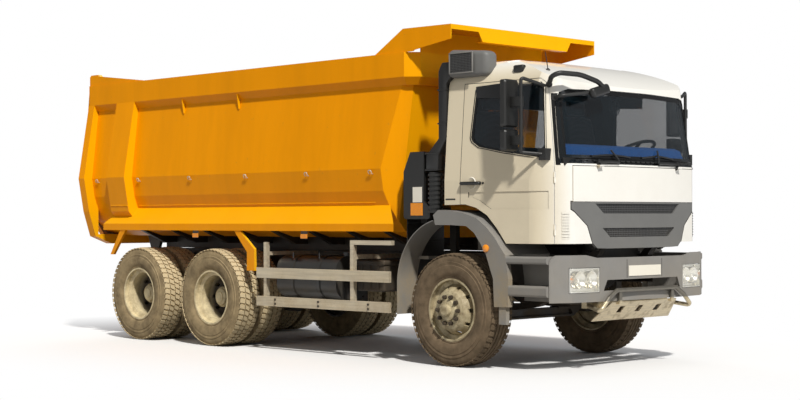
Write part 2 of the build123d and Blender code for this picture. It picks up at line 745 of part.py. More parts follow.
def cab_form(inset, closed_floor=False):
    """Solid of the cab, its outside when inset is 0."""
    plan = cab_plan(inset)
    rake = radians(windscreen_rake)
    lower = Pos(0, 0, 880) * extrude(plan, amount=cab_belt_z - 880)
    upper = Pos(0, 0, cab_belt_z) * extrude(
        plan, amount=1100, dir=(-sin(rake), 0, cos(rake)))
    side_face = Plane.XZ * cab_side_face(inset, closed_floor)
    side_view = extrude(side_face, amount=1400, both=True)
    front_view = extrude(Plane.YZ * cab_front_face(inset), amount=2000, both=True)
    return (lower + upper) & side_view & front_view


def door_outline(grow=0.0):
    """Side view of a door, following the wheel arch."""
    points = [
        (door_front_x, cab_sill_z), (door_front_x, 1880), (door_front_x - 92, door_top_z - 50),
        (door_front_x - 146, door_top_z),
        (door_rear_x, door_top_z), (door_rear_x, 1529), *reversed(cab_arch[:4]),
    ]
    face = make_face(Polyline(*points, close=True))
    return offset(face, amount=grow, kind=Kind.INTERSECTION) if grow else face


def side_zone(face, y_in=560.0, y_out=1400.0):
    """An (x, z) face run outwards over the right side of the cab."""
    return extrude(Plane.XZ.offset(y_in) * face, amount=y_out - y_in)


def front_zone(outline, grow=0.0):
    """A (half width, height) outline run through the front of the cab."""
    points = [(-y, z) for y, z in outline] + [(y, z) for y, z in reversed(outline)]
    face = make_face(Polyline(*points, close=True))
    if grow:
        face = offset(face, amount=grow, kind=Kind.INTERSECTION)
    return extrude(Plane.YZ.offset(850) * face, amount=700)


surround_outline = [(cab_half - 118, 1886), (cab_half - 146, 2450), (cab_half - 188, 2534),
                    (cab_half - 275, 2562), (300, 2573)]
flap_outline = [(915, 1864), (915, 1545)]
grille_outline = [(930, 1541), (930, 1477), (745, 1330), (680, 1170), (620, 1122),
                  (480, cab_front_bottom)]
grille_slots = ([(645, 1527), (535, 1436)], [(550, 1305), (450, 1220)])


def window_outline():
    """Door window: upright rear edge, sill falling forward, raked front edge."""
    top = door_top_z - 37
    points = [(195, 2150), (235, top - 38), (262, top), (door_front_x - 150, top),
              (door_front_x - 115, top - 38), (door_front_x - 65, 1934), (609, 2003), (300, 2059),
              (215, 2110)]
    return make_face(Polyline(*points, close=True))


CabForms = namedtuple("CabForms", "outer outer_open inner pressed walls")


def make_forms():
    """The cab's nested forms, made once."""
    outer, inner = cab_form(0, closed_floor=True), cab_form(cab_wall)
    return CabForms(outer, cab_form(0), inner, cab_form(press_depth), outer - inner)


def hinge_column(z_low, z_high, radius):
    """An upright cylinder on the right door's hinge line."""
    return rod((door_hinge_x, -door_hinge_y, z_low), (door_hinge_x, -door_hinge_y, z_high), radius)


def cab_hinge_parts():
    """Cab's half of the right door's hinges: what is added, and the room cut for the door's."""
    added, room = [], []
    for z in door_hinge_zs:
        added.append(hinge_column(z - hinge_length, z - 1, hinge_knuckle))
        added.append(hinge_column(z - hinge_length, z + hinge_length - 2, hinge_pin))
        room.append(hinge_column(z - 1, z + hinge_length, hinge_knuckle + 2))
    return joined(*added), joined(*room)


def door_hinge_parts():
    """Door's half of the same hinges."""
    added, room = [], []
    for z in door_hinge_zs:
        eye = hinge_column(z, z + hinge_length - 1, hinge_knuckle)
        added.append(eye)
        room.append(hinge_column(z - hinge_length - 1, z, hinge_knuckle + 2))
        room.append(hinge_column(z - 1, z + hinge_length, hinge_pin + pin_clearance))
    return joined(*added), joined(*room)


def flap_hinges():
    """Two hinges ahead of the flap's top edge: (on the cab, on the flap)."""
    x, z = flap_hinge_x, flap_hinge_z
    cab_side, flap_side = [], []
    for y in (-flap_hinge_y, flap_hinge_y):
        for edge in (-30, 16):
            cab_side.append(cylinder_y(x, z, flap_knuckle, y + edge, y + edge + 14)
                            + block(x - 44, x, y + edge, y + edge + 14, z - 2, z + flap_knuckle))
        cab_side.append(cylinder_y(x, z, flap_pin, y - 30, y + 30))
        eye = cylinder_y(x, z, flap_knuckle, y - 15, y + 15)
        eye += side_prism([(x - 45, z - 32), (x - 45, z - 8), (x, z + 6), (x, z - 6)],
                          -y - 15, -y + 15)
        flap_side.append(eye - cylinder_y(x, z, flap_pin + pin_clearance, y - 20, y + 20))
    return joined(*cab_side), joined(*flap_side)


def cab_body(forms):
    """Roof, rear and front panels of the cab, cut round doors, glass and flap."""
    zone = side_zone(door_outline(moving_gap))
    body = forms.walls - zone - other_side(zone)
    roof = body & block(-400, 1600, -1400, 1400, cab_split_z, 3100)
    rest = body - block(-400, 1600, -1400, 1400, cab_split_z, 3100)
    rear = rest & block(-400, 500, -1400, 1400, 900, cab_split_z)
    front = rest & block(500, 1600, -1400, 1400, 900, cab_split_z)
    rear -= block(-400, 0, -560, 560, 2100, 2480)
    front -= front_zone(surround_outline)
    front -= front_zone(flap_outline, moving_gap)
    front -= front_zone(grille_outline, grille_gap)
    front -= block(1000, 1500, -1300, 1300, 900, cab_sill_z)
    firewall = block(1160, 1180, -1000, 1000, cab_sill_z, cab_belt_z) & cab_form(cab_wall - 5)
    firewall -= block(1150, 1190, -405, 405, cab_sill_z - 10, 1445)
    firewall -= block(1150, 1190, -600, 600, cab_sill_z - 10, cab_sill_z + 25)
    front += firewall
    hinges, room = cab_hinge_parts()
    front = front - room - other_side(room) + hinges + other_side(hinges)
    front += flap_hinges()[0]
    return roof, rear, front


def cab_glazing(forms):
    """Curved windscreen in the front opening and the flat rear window."""
    pane = cab_form(12) - cab_form(12 + glass)
    zone = side_zone(door_outline(moving_gap))
    screen = (pane & front_zone(surround_outline)) - zone - other_side(zone)
    rear = block(cab_rear_x + 15, cab_rear_x + 15 + glass, -560, 560, 2100, 2480)
    return Compound([*screen.solids(), *rear.solids()])


def floor_top():
    """Top of the floor from the front edge back over the wheel arch: (x, z)."""
    (x0, z0), (x1, z1), *rest = cab_arch
    t = cab_wall
    return [(1160, cab_sill_z + t), (x0 + 0.6 * t, z0 + t), (x1 + 0.6 * t, z1 + 0.7 * t),
            *[(x, z + t) for x, z in rest], (cab_rear_x + t, 1523 + t)]


def cab_floor():
    """Floor that steps over the wheel arches, with the tunnel over the engine."""
    half = cab_half - cab_wall - moving_gap
    low = [(1160, cab_sill_z), *cab_arch, (cab_rear_x + cab_wall, 1523)]
    floor = side_prism(low + floor_top()[::-1], -half, half)
    corner = plan_prism([(880, -half - 10), (880, -half), (1040, -half + 40), (1165, -half + 112),
                         (1165, -half - 10)], 1100, 1600)
    outside = block(420, 1160, -430, 430, 1100, 1470)
    inside = block(380, 1161, -405, 405, 1090, 1445)
    floor = (floor - outside) + (outside & block(420, 1160, -430, 430, cab_sill_z, 1470)) - inside
    floor -= joined(corner, other_side(corner))
    lug = side_prism(
        [(cab_pivot_x - 60, cab_sill_z), (cab_pivot_x + 15, cab_sill_z),
         (cab_pivot_x + 32, cab_pivot_z), (cab_pivot_x - 32, cab_pivot_z)], 470, 510)
    lug += cylinder_y(cab_pivot_x, cab_pivot_z, 42, -510, -470)
    floor = floor + lug + other_side(lug)
    return floor - cylinder_y(cab_pivot_x, cab_pivot_z, cab_pivot_radius + pin_clearance, -600, 600)


def dashboard(forms):
    """Padded dash across the cab, with the instrument hump on the left."""
    board = side_prism([(1160, 1560), (1160, 1862), (1120, 1872), (960, 1850), (900, 1790),
                        (930, 1640), (1010, 1560)], -dash_half, dash_half)
    hump = side_prism([(1080, 1862), (1010, 1925), (930, 1915), (905, 1800)], -760, -340)
    return (board + hump) & forms.inner & cab_form(cab_wall + moving_gap)


def seats():
    """Driver's and passenger's seats on pedestals that stand on the floor."""
    solids = []
    foot = [p for p in floor_top() if 100 < p[0] < 500]
    for y in (-640, 640):
        base = side_prism(
            [(foot[-1][0], 1750), *foot[::-1], (foot[0][0], 1750)], -y - 170, -y + 170)
        cushion = fillet(block(60, 560, y - 250, y + 250, 1750, 1860).edges(), 30)
        back = side_prism([(40, 1850), (160, 1850), (95, 2420), (-5, 2420)], -y - 240, -y + 240)
        back = fillet(back.edges(), 25)
        head = fillet(block(0, 85, y - 130, y + 130, 2435, 2590).edges(), 25)
        post = block(30, 50, y - 60, y + 60, 2410, 2440)
        solids += (base + cushion + back + head + post).solids()
    return Compound(solids)


steering_axis = Vector(-0.42, 0, 0.91)
steering_hub = Vector(760, 640, 2050)


def steering_wheel():
    """Rim, three spokes and the hub on its column."""
    along = steering_axis.normalized()
    plane = Plane(origin=steering_hub, z_dir=along)
    ring = plane * Torus(225, 16)
    hub = plane * Cylinder(55, 40)
    wheel = ring + hub
    for turn in (90, 210, 330):
        wheel += plane * Rot(0, 0, turn) * Pos(120, 0, 0) * Box(215, 34, 14)
    return wheel


def steering_column():
    """Column from the dash to just under the wheel's hub."""
    along = steering_axis.normalized()
    top = steering_hub - along * (20 + pin_clearance)
    foot = steering_hub - along * 420
    return rod(tuple(foot), tuple(top), 34)


def door(forms):
    """Right door with its window cut, pressed waist band and two hinge knuckles."""
    panel = forms.walls & side_zone(door_outline())
    panel -= side_zone(window_outline())
    band = make_face(Polyline((185, 1590), (185, 1640), (1110, 1640), (1110, 1480), (470, 1480),
                              (330, 1560), (240, 1590), close=True))
    panel -= (forms.outer - forms.pressed) & side_zone(band)
    eyes, room = door_hinge_parts()
    return panel + eyes - room


def door_glass(forms):
    pane = cab_form(16) - cab_form(16 + glass)
    return pane & side_zone(window_outline())


def mirrors(forms):
    """Right mirror pair on an upright pole that two arms carry from the door."""
    x, y = 950.0, -1260.0
    whole = None
    for z_low, z_high in ((2215, 2645), (2000, 2195)):
        glass_case = block(785, 845, y - 95, y + 95, z_low, z_high)
        glass_case = fillet(glass_case.edges().filter_by(Axis.X), 30)
        glass_case = chamfer(glass_case.faces().sort_by(Axis.X)[-1].edges(), 14)
        whole = glass_case if whole is None else whole + glass_case
    path = FilletPolyline((1030, -1000, 2585), (1030, -1090, 2600), (x, y, 2655), (x, y, 1985),
                          (1085, -1110, 1968), (1085, -1030, 1968), radius=24)
    whole += sweep(Plane(origin=path @ 0, z_dir=path % 0) * Circle(16), path=path)
    for z, half in ((2440, 45), (2095, 40)):
        whole += block(840, x + 12, y - 25, y + 25, z - half, z + half)
    whole += block(1045, 1122, -1130, -1030, 1915, 2020)
    return whole - forms.outer


def flap_panel(forms):
    """White front flap."""
    panel = (forms.outer_open - cab_form(30)) & front_zone(flap_outline)
    return panel + flap_hinges()[1]


def grille(forms):
    """Tapered grille frame whose two slots are backed by a woven sheet."""
    frame = (forms.outer_open - cab_form(28)) & front_zone(grille_outline)
    mesh = cab_form(20) - cab_form(24)
    for slot in grille_slots:
        frame -= front_zone(slot)
        frame += mesh & front_zone(slot, 4.0)
    behind = cab_form(30 + pin_clearance) - cab_form(42)
    root = cab_form(20) - cab_form(42)
    for y in (-700, 700):
        frame += root & block(900, 1500, y - 30, y + 30, 1495, 1541)
        frame += behind & block(900, 1500, y - 30, y + 30, 1520, 1600)
    return frame


def snorkel(forms):
    """Air intake: duct up the back of the cab, its elbow and the head on the roof's corner."""
    x, rear = duct_foot_x, cab_rear_x
    y_in, y_out = duct_y - 58, duct_y + 58
    duct = side_prism(
        [(x - 80, duct_foot_z), (x - 80, 2000), (rear - 112, 2160), (rear - 112, 2800),
         (rear - 50, 2900), (rear + 40, 2950), (rear + 40, 2740), (rear, 2680), (rear, 2150),
         (x + 80, 2000), (x + 80, duct_foot_z)], y_in, y_out)
    head = side_prism([(rear + 30, 2722), (rear + 30, 2985), (380, 2985), (550, 2930), (550, 2765),
                       (380, 2722)], 830, 1125)
    head = fillet(head.edges().filter_by(Axis.X), 40)
    return (head + duct) - forms.outer_open


def air_filter():
    """Filter housing behind the cab, the bellows up to the intake duct, and its bracket."""
    housing = side_prism(
        [(-700, 1390), (-700, 1850), (-610, 2040), (-425, 2040), (-425, 1560), (-345, 1500),
         (-345, 1390)], 800, 1100)
    housing = chamfer(housing.edges().filter_by(Axis.Y).group_by(Axis.Z)[0], 20)
    bellows = None
    ring, pitch = 75.0, 44.0
    x, y = duct_foot_x, -duct_y
    for number in range(9):
        z = 1450 + pitch * number
        ring_form = rod((x, y, z), (x, y, z + pitch / 2), ring)
        waist = rod((x, y, z + pitch / 2 - 1), (x, y, min(z + pitch + 1, duct_foot_z - 10)), ring - 12)
        bellows = ring_form + waist if bellows is None else bellows + ring_form + waist
    foot = block(-660, -580, -900, -frame_outer_y, 1350, 1390)
    foot += block(-660, -580, -frame_outer_y - 60, -frame_outer_y, 900, 1390)
    return housing + bellows + foot


# ---------------------------------------------------------------- bed
def tub_form(inset=0.0, top=bed_wall_top):
    """Solid of the half-pipe body, its outside when inset is 0."""
    *lower, (y_kink, z_kink), (y_top, z_top) = tub_section
    lean = (y_kink - y_top) / (z_top - z_kink)
    half = [(0, lower[0][1]), *lower, (y_kink, z_kink), (y_kink - lean * (top - z_kink), top)]
    outline = [(y, z) for y, z in half[1:]] + [(-y, z) for y, z in reversed(half[1:])]
    face = make_face(Polyline(*outline, close=True))
    if inset:
        face = offset(face, amount=-inset, kind=Kind.INTERSECTION)
    rear = bed_rear_x - (50 if inset else 0)
    body = extrude(Plane.YZ.offset(rear) * face, amount=-500 - rear)
    z_ref = 1880
    wall = Plane(origin=(front_wall_x - inset, 0, z_ref), z_dir=(1, 0, -front_wall_lean))
    body = split(body, bisect_by=wall, keep=Keep.BOTTOM)
    for side in (-1, 1):
        normal = Vector(1, side, -0.14).normalized()
        origin = Vector(front_wall_x, side * front_wall_half, z_ref) - normal * inset
        body = split(body, bisect_by=Plane(origin=origin, z_dir=normal), keep=Keep.BOTTOM)
    return body


def rail_plan(grow=0.0):
    """Plan of the rail ring's outside, past the rear end so that it can be cut there."""
    y, corner, front, half = rail_outer_y, rail_corner_x, beam_front_x, beam_half
    return make_face(Polyline(
        (rail_rear_x - 400, -y), (corner, -y), (front, -half), (front, half), (corner, y),
        (rail_rear_x - 400, y), close=True))


def bed_rails():
    """Rail along both sides and across the front, its underside sloping in."""
    upper = Pos(0, 0, rail_bottom) * extrude(rail_plan(), amount=rail_top - rail_bottom)
    depth = rail_bottom - bed_wall_top
    taper = degrees(atan2(rail_outer_y - tub_section[-1][0], depth))
    lower = Pos(0, 0, rail_bottom) * extrude(rail_plan(), amount=-depth, taper=taper)
    ring = upper + lower
    y, corner = rail_inner_y, rail_corner_x - 40
    ring -= plan_prism([
        (rail_rear_x - 500, -y), (corner - 60, -y), (beam_inner_x, -front_wall_half + 40),
        (beam_inner_x, front_wall_half - 40), (corner - 60, y), (rail_rear_x - 500, y)],
        bed_wall_top - 10, rail_top + 10)
    ring -= block(rail_rear_x - 900, rail_rear_x, -1300, 1300, 2600, 3100)
    return ring


def bed_ribs(tub, rails):
    """Tapered bolsters: deepest at the kink; the rear one runs on under the floor."""
    whole = []
    outline = [(0, 2790), (rail_outer_y, rail_bottom), (rib_outer_y, kink_z), (1180, 1490),
               (1085, 1190), (850, 1100), (0, 1100)]
    for rear, front, ring in rib_table:
        if ring:
            half = outline
        else:
            half = outline[:4] + [(1130, 1432), (0, 1432)]
        full = half[1:-1] + [(-y, z) for y, z in reversed(half[1:-1])]
        rib = cross_prism(full, rear, front) - tub - rails
        rib -= block(rear - 1, front + 1, -1045, 1045, 1215, 2790)
        whole.append(rib)
    return whole


def ledge(tub):
    """Bent sheet along the tub's side: sloping deck and upright fascia."""
    t = ledge_sheet
    profile = [(-1030, 1552), (-ledge_y, ledge_top), (-ledge_y, ledge_bottom),
               (-ledge_y + t, ledge_bottom), (-ledge_y + t, ledge_top - 4), (-1020, 1548)]
    sheet = cross_prism(profile, ledge_rear_x - 10, ledge_front_x + 10)
    for x, slant in ((ledge_rear_x, 1), (ledge_front_x, -1)):
        cut = plan_prism([(x, -ledge_y - 5), (x - slant * 600, -ledge_y - 5),
                          (x - slant * 600, -900), (x + slant * 2 * ledge_end_slant, -900)],
                         1200, 1600)
        sheet -= cut
    return sheet - tub


def bed_canopy():
    """Headboard over the cab: side plates, roof sheet, stepped front lip and its upright."""
    y_in = canopy_half - canopy_sheet
    front, top, low = canopy_front_x, canopy_top, canopy_top - 0.65 * canopy_rise
    side = side_prism(
        [(canopy_rear_x, rail_top), (canopy_break_x, top), (front, top - 8), (front, low),
         (beam_front_x + 15, rail_top + 12), (beam_front_x - 3, rail_top)], y_in, canopy_half)
    roof = side_prism(
        [(canopy_break_x, top), (front, top - 8), (front, top - 8 - canopy_sheet),
         (canopy_break_x, top - canopy_sheet)], -y_in, y_in)
    step_y = canopy_half - 450
    step_z = top - 0.24 * canopy_rise
    lip = cross_prism(
        mirrored_section([(step_y, low), (step_y + 60, step_z), (y_in, step_z), (y_in, top - 14)]),
        front - canopy_sheet, front)
    shelf = block(front - 90, front, -step_y, step_y, low, low + canopy_sheet)
    upright = block(beam_front_x - 75, beam_front_x - 65, -beam_half + 70, beam_half - 70,
                    rail_top, top - 8)
    return side + other_side(side) + roof + lip + shelf + upright


def gate_ears():
    """Ear plates on the rails that carry the tailgate's pins, each with its wedge."""
    rear, z = rail_rear_x, rail_top
    front = gate_pin_x + 140
    y_in, y_out = rail_outer_y - 60, rail_outer_y - 10
    ear = side_prism(
        [(rear, z), (rear, z + 108), (rear + 30, z + 130), (front - 70, z + 130),
         (front - 30, z + 108), (front, z)], y_in, y_out)
    wedge_end = front + 860
    wedge = side_prism([(front - 35, z), (front - 35, z + 108), (wedge_end, z + 5),
                        (wedge_end, z)], y_out - 20, y_out)
    pin = cylinder_y(gate_pin_x, gate_pin_z, gate_pin_radius, -y_out + 5, -y_in + 85)
    return pair(ear + wedge + pin)


def bed_subframe(tub):
    """Rails under the tub, cross bearers and the hinge ears at the rear."""
    rail = block(-5480, -960, -frame_outer_y, -frame_outer_y + frame_flange, subframe_bottom, 1200)
    whole = rail + other_side(rail)
    for x in (-5300, -4700, -4100, -3500, -2900, -2300, -1700, -1150):
        bearer = mirrored_section([(600, 1120), (1000, 1300), (1000, 1420)])
        whole += cross_prism(bearer, x - 30, x + 30)
    ear = side_prism([(-5480, 1200), (-5760, 1200), (tip_x - 62, tip_z), (tip_x + 62, tip_z)],
                     465, 505)
    ear += cylinder_y(tip_x, tip_z, 70, -505, -465)
    ear += block(-5480, -5440, -505, -frame_outer_y + 10, 1110, 1200)
    whole += ear + other_side(ear)
    whole -= cylinder_y(tip_x, tip_z, tip_tube_radius + pin_clearance, -700, 700)
    return whole - tub


def hoist_bracket(tub, rails):
    """Two ears on the front beam that hold the hoist's top pin, open downwards."""
    solids = []
    for side in (-1, 1):
        ear = side_prism(
            [(-720, 2440), (-720, 2790), (-560, 2790), (-330, 2645), (-322, 2590), (-345, 2552),
             (-420, 2548)], 0, 22)
        ear = Pos(0, side * 68 + 11, 0) * ear
        solids += (ear - tub - rails).solids()
    return Compound(solids)


def mud_brackets():
    """Bent straps that hang from the ledge ahead of and behind the rear wheels."""
    front = side_prism([(-3220, ledge_bottom), (-3120, ledge_bottom), (-2880, 1075),
                        (-2872, 842), (-3000, 842), (-3000, 1040)], ledge_y - 40, ledge_y - 8)
    rear = side_prism([(-5360, ledge_bottom), (-5250, ledge_bottom), (-5500, 980),
                       (-5560, 980)], ledge_y - 40, ledge_y - 8)
    return pair(Compound([*front.solids(), *rear.solids()]))


def tailgate():
    """Gate plate with a rim frame, upright ribs, a waist rib and the two hinge arms."""
    face_x = bed_rear_x - moving_gap
    skin = 12.0
    back_x = truck_rear
    half = [(640, 1130), (870, 1200), (1020, 1420), (1075, 1560), (1120, 1890), (1030, 2990)]
    outline = mirrored_section(half)
    plate = cross_prism(outline, face_x - skin, face_x)
    face = make_face(Polyline(*outline, close=True))
    rim = face - offset(face, amount=-70, kind=Kind.INTERSECTION)
    frame = extrude(Plane.YZ.offset(back_x) * rim, amount=face_x - skin - back_x)
    gate = plate + frame
    for y in (-540, 0, 540):
        gate += block(back_x + 12, face_x - skin, y - 45, y + 45, 1180, 2950)
    for z in (1560, 2240):
        gate += block(back_x + 12, face_x - skin, -1050, 1050, z - 45, z + 45)
    arm = side_prism(
        [(back_x, 2940), (back_x, 3040), (gate_pin_x - 60, gate_pin_z + 45),
         (gate_pin_x, gate_pin_z + 45), (gate_pin_x, gate_pin_z - 45),
         (rail_rear_x, rail_top + 14), (face_x - skin, rail_top + 4), (face_x - skin, 2940)],
        965, 1005)
    arm += cylinder_y(gate_pin_x, gate_pin_z, 45, -1005, -965)
    arm -= cylinder_y(gate_pin_x, gate_pin_z, gate_pin_radius + pin_clearance, -1100, -900)
    return gate + arm + other_side(arm)


# ---------------------------------------------------------------- hoist
def hoist_parts():
    """Barrel with its foot eye, and the nested stages, the last with the top eye."""
    parts = []
    top = hoist_eye_z - 180
    bottom = hoist_base_z + 62
    for number, radius in enumerate(hoist_radii):
        last = number == len(hoist_radii) - 1
        low = bottom + 14 * number
        high = top + hoist_collar * number
        if last:
            tube = rod((hoist_x, 0, low), (hoist_x, 0, hoist_eye_z - 30), radius)
            tube += cylinder_y(hoist_x, hoist_eye_z, hoist_eye_radius + 8, -44, 44)
            tube -= cylinder_y(hoist_x, hoist_eye_z, hoist_pin_radius, -60, 60)
        else:
            tube = rod((hoist_x, 0, low), (hoist_x, 0, high), radius)
            bore = hoist_radii[number + 1] + 0.5
            tube -= rod((hoist_x, 0, low + 12), (hoist_x, 0, high + 1), bore)
        if number == 0:
            tube += cylinder_y(hoist_x, hoist_base_z, 48, -52, 52)
            tube += block(hoist_x - 40, hoist_x + 40, -44, 44, hoist_base_z, low + 6)
            tube -= cylinder_y(hoist_x, hoist_base_z, hoist_pin_radius + pin_clearance, -80, 80)
        parts.append(tube)
    return parts


# ---------------------------------------------------------------- rear end
def rear_bar():
    """Underrun bar on two legs."""
    legs = block(-5700, -5640, -430, -350, 470, frame_bottom)
    bar = block(-5790, -5700, -800, 800, 460, 570)
    return bar + legs + other_side(legs)


def rear_lamps():
    """Lamp box each side on an arm from the frame."""
    lamp = block(-5760, -5700, -790, -600, 790, 880)
    arm = block(-5730, -5700, -600, -430, 815, 855)
    return pair(lamp + arm)


def main():
    for side, name in ((-1, "right"), (1, "left")):
        write(f"tyre_front_{name}", tyre(front_axle_x, side * front_track_half))
        write(f"rim_front_{name}", front_rim(front_axle_x, side * front_track_half, side))
        for number, x in enumerate(rear_axle_xs, 1):
            twin = [tyre(x, side * rear_outer_half), tyre(x, side * rear_inner_half)]
            write(f"tyres_rear_{number}_{name}", joined(*twin))
            write(f"rims_rear_{number}_{name}", twin_rims(x, side))
    right_knuckle = knuckle()
    write("knuckle_right", right_knuckle)
    write("knuckle_left", other_side(right_knuckle))
    write("tie_rod", tie_rod_bar())
    write("axles", joined(front_axle_beam(), rear_axles()))
    write("leaf_springs", joined(front_springs(), rear_springs()))

    write("ladder_frame", ladder_frame())
    write("powertrain", powertrain())
    write("radiator", radiator())
    write("frame_brackets", joined(hoist_mount(), tank_brackets(), cab_mounts()))
    write("fuel_tank", fuel_tank())
    write("battery_and_air_tanks", joined(battery_box(), air_tanks()))
    write("side_guards", pair(side_guard()))
    write("bumper", bumper())
    write("headlamps", headlamps())
    write("under_guard", under_guard())
    write("entry_steps", pair(entry_steps()))
    write("front_arches", joined(pair(arch_flares()), pair(rear_front_fenders())))
    write("air_filter", air_filter())
    write("rear_bar", joined(rear_bar(), rear_lamps()))

    forms = make_forms()
    roof, rear, front = cab_body(forms)
    write("cab_roof", roof)
    write("cab_rear_panel", rear)
    write("cab_front_panel", front)
    write("cab_glass", cab_glazing(forms))
    write("cab_floor", cab_floor())
    write("dashboard", (dashboard(forms) - front) + steering_column())
    write("seats", seats())
    write("steering_wheel", steering_wheel())
    write("snorkel", snorkel(forms))
    for name, shape in (("door", door(forms)), ("door_glass", door_glass(forms)),
                        ("mirrors", mirrors(forms))):
        write(f"{name}_right", shape)
        write(f"{name}_left", other_side(shape))
    write("flap_panel", flap_panel(forms))
    write("grille", grille(forms))

    tub = tub_form()
    rails = bed_rails()
    write("bed_tub", tub - tub_form(bed_plate, bed_wall_top + 200))
    write("bed_rails", rails + gate_ears() + hoist_bracket(tub, rails))
    ribs = bed_ribs(tub, rails)
    deck = ledge(tub)
    write("bed_ribs", joined(*[r - deck - other_side(deck) for r in ribs]))
    write("bed_ledges", joined(pair(deck), mud_brackets()))
    write("bed_canopy", bed_canopy())
    write("bed_subframe", bed_subframe(tub))
    write("tailgate", tailgate())
    for number, tube in enumerate(hoist_parts()):
        write("hoist_barrel" if number == 0 else f"hoist_stage_{number}", tube)


if __name__ == "__main__":
    main()
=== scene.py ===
"""Finishes, trim and studio stage for a three-axle dump truck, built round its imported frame.

Metres, in the frame's axes: X forward, Y to the driver's side, Z up, ground at zero. Places along
the truck are mostly given from the front axle, because that is how a truck is measured.
"""

import json
from math import cos, radians, sin, tau

import bmesh
import bpy
from mathutils import Matrix, Vector
from mathutils.bvhtree import BVHTree


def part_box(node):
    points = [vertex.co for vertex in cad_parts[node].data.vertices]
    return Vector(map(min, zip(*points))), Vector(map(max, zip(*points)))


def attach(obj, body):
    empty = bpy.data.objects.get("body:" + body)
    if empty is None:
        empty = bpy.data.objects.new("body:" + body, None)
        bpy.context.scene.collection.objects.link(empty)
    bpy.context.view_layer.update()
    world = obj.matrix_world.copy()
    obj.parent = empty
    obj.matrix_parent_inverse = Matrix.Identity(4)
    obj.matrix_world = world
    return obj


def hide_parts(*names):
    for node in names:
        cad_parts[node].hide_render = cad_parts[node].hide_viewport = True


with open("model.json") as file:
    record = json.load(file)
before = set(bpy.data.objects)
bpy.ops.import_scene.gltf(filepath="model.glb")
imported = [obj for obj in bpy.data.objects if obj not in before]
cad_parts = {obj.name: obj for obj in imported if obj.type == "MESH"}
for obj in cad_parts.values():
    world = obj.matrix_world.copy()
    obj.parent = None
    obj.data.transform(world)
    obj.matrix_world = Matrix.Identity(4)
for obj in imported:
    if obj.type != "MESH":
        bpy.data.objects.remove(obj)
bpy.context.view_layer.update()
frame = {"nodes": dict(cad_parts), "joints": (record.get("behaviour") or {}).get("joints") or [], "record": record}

bl_info = {
    "name": "Dump truck finishes",
    "version": (1, 0, 0),
    "blender": (4, 5, 0),
    "location": "View3D > Sidebar > Dump truck",
    "description": "Builds the tyres, trim, finishes and stage of a dump truck on its frame",
    "category": "Object",
}

nodes = frame["nodes"]
joint_places = {joint["name"]: Vector(joint.get("pos_m") or (0, 0, 0)) for joint in frame["joints"]}
front_axle = joint_places["wheel_front_right_spin"].x
axle_height = joint_places["wheel_front_right_spin"].z
sides = {"right": -1, "left": 1}
MM = 0.001


def at(x, y, z):
    """A point given from the front axle, the middle plane and the ground."""
    return Vector((front_axle + x, y, z))


def by(x=0, y=0, z=0):
    """A shift in metres."""
    return Vector((x, y, z))


# ---------------------------------------------------------------- settings
def linear(hex_value):
    """An sRGB hex colour as linear RGBA."""
    parts = [int(hex_value[i:i + 2], 16) / 255 for i in (1, 3, 5)]
    return (*[c / 12.92 if c <= 0.04045 else ((c + 0.055) / 1.055) ** 2.4 for c in parts], 1.0)


def colour_setting(name, description, hex_value):
    """A colour property whose default is written as sRGB hex."""
    return bpy.props.FloatVectorProperty(
        name=name, description=description, subtype="COLOR", size=3, min=0, max=1,
        default=linear(hex_value)[:3])


def length_setting(name, description, default):
    """A length property in metres."""
    return bpy.props.FloatProperty(
        name=name, description=description, unit="LENGTH", min=0, default=default)


class PaintSettings(bpy.types.PropertyGroup):
    """Colours of the painted and moulded parts."""

    bed: colour_setting("Bed", "Enamel of the tipping bed", "#F29A00")
    cab: colour_setting("Cab", "Enamel of the cab", "#F1EFE8")
    wheel: colour_setting("Wheels", "Enamel of the rims", "#DACBA4")
    moulding: colour_setting("Mouldings", "Grey of the bumper and arches", "#7D7B77")
    dust: colour_setting("Dust", "Dry dust low on the truck", "#9A8A6E")


class TyreSettings(bpy.types.PropertyGroup):
    """Sizes of the tread."""

    tread_depth: length_setting("Tread depth", "Height of the tread blocks", 0.014)
    block_count: bpy.props.IntProperty(
        name="Blocks", description="Tread blocks round each shoulder", min=12, max=90, default=54)


class TrimSettings(bpy.types.PropertyGroup):
    """Sizes of the small fittings."""

    nut_size: length_setting("Nut", "Width of a wheel nut across its flats", 0.032)
    bolt_size: length_setting("Bolt", "Width of a frame bolt's head", 0.026)


def paint_value(name, shade=1.0):
    """A colour from the settings, darkened by shade."""
    return (*[c * shade for c in getattr(bpy.context.scene.truck_paint, name)], 1.0)


# ---------------------------------------------------------------- material helpers
def add(tree, kind, values=None, **settings):
    """Adds a shader node, with its properties and the values or links of its inputs."""
    made = tree.nodes.new("ShaderNode" + kind)
    for key, value in settings.items():
        setattr(made, key, value)
    for key, value in (values or {}).items():
        if isinstance(value, bpy.types.NodeSocket):
            tree.links.new(value, made.inputs[key])
        else:
            made.inputs[key].default_value = value
    return made


def cleared_tree(owner):
    """The emptied node tree of a material or a world."""
    owner.use_nodes = True
    owner.node_tree.nodes.clear()
    return owner.node_tree


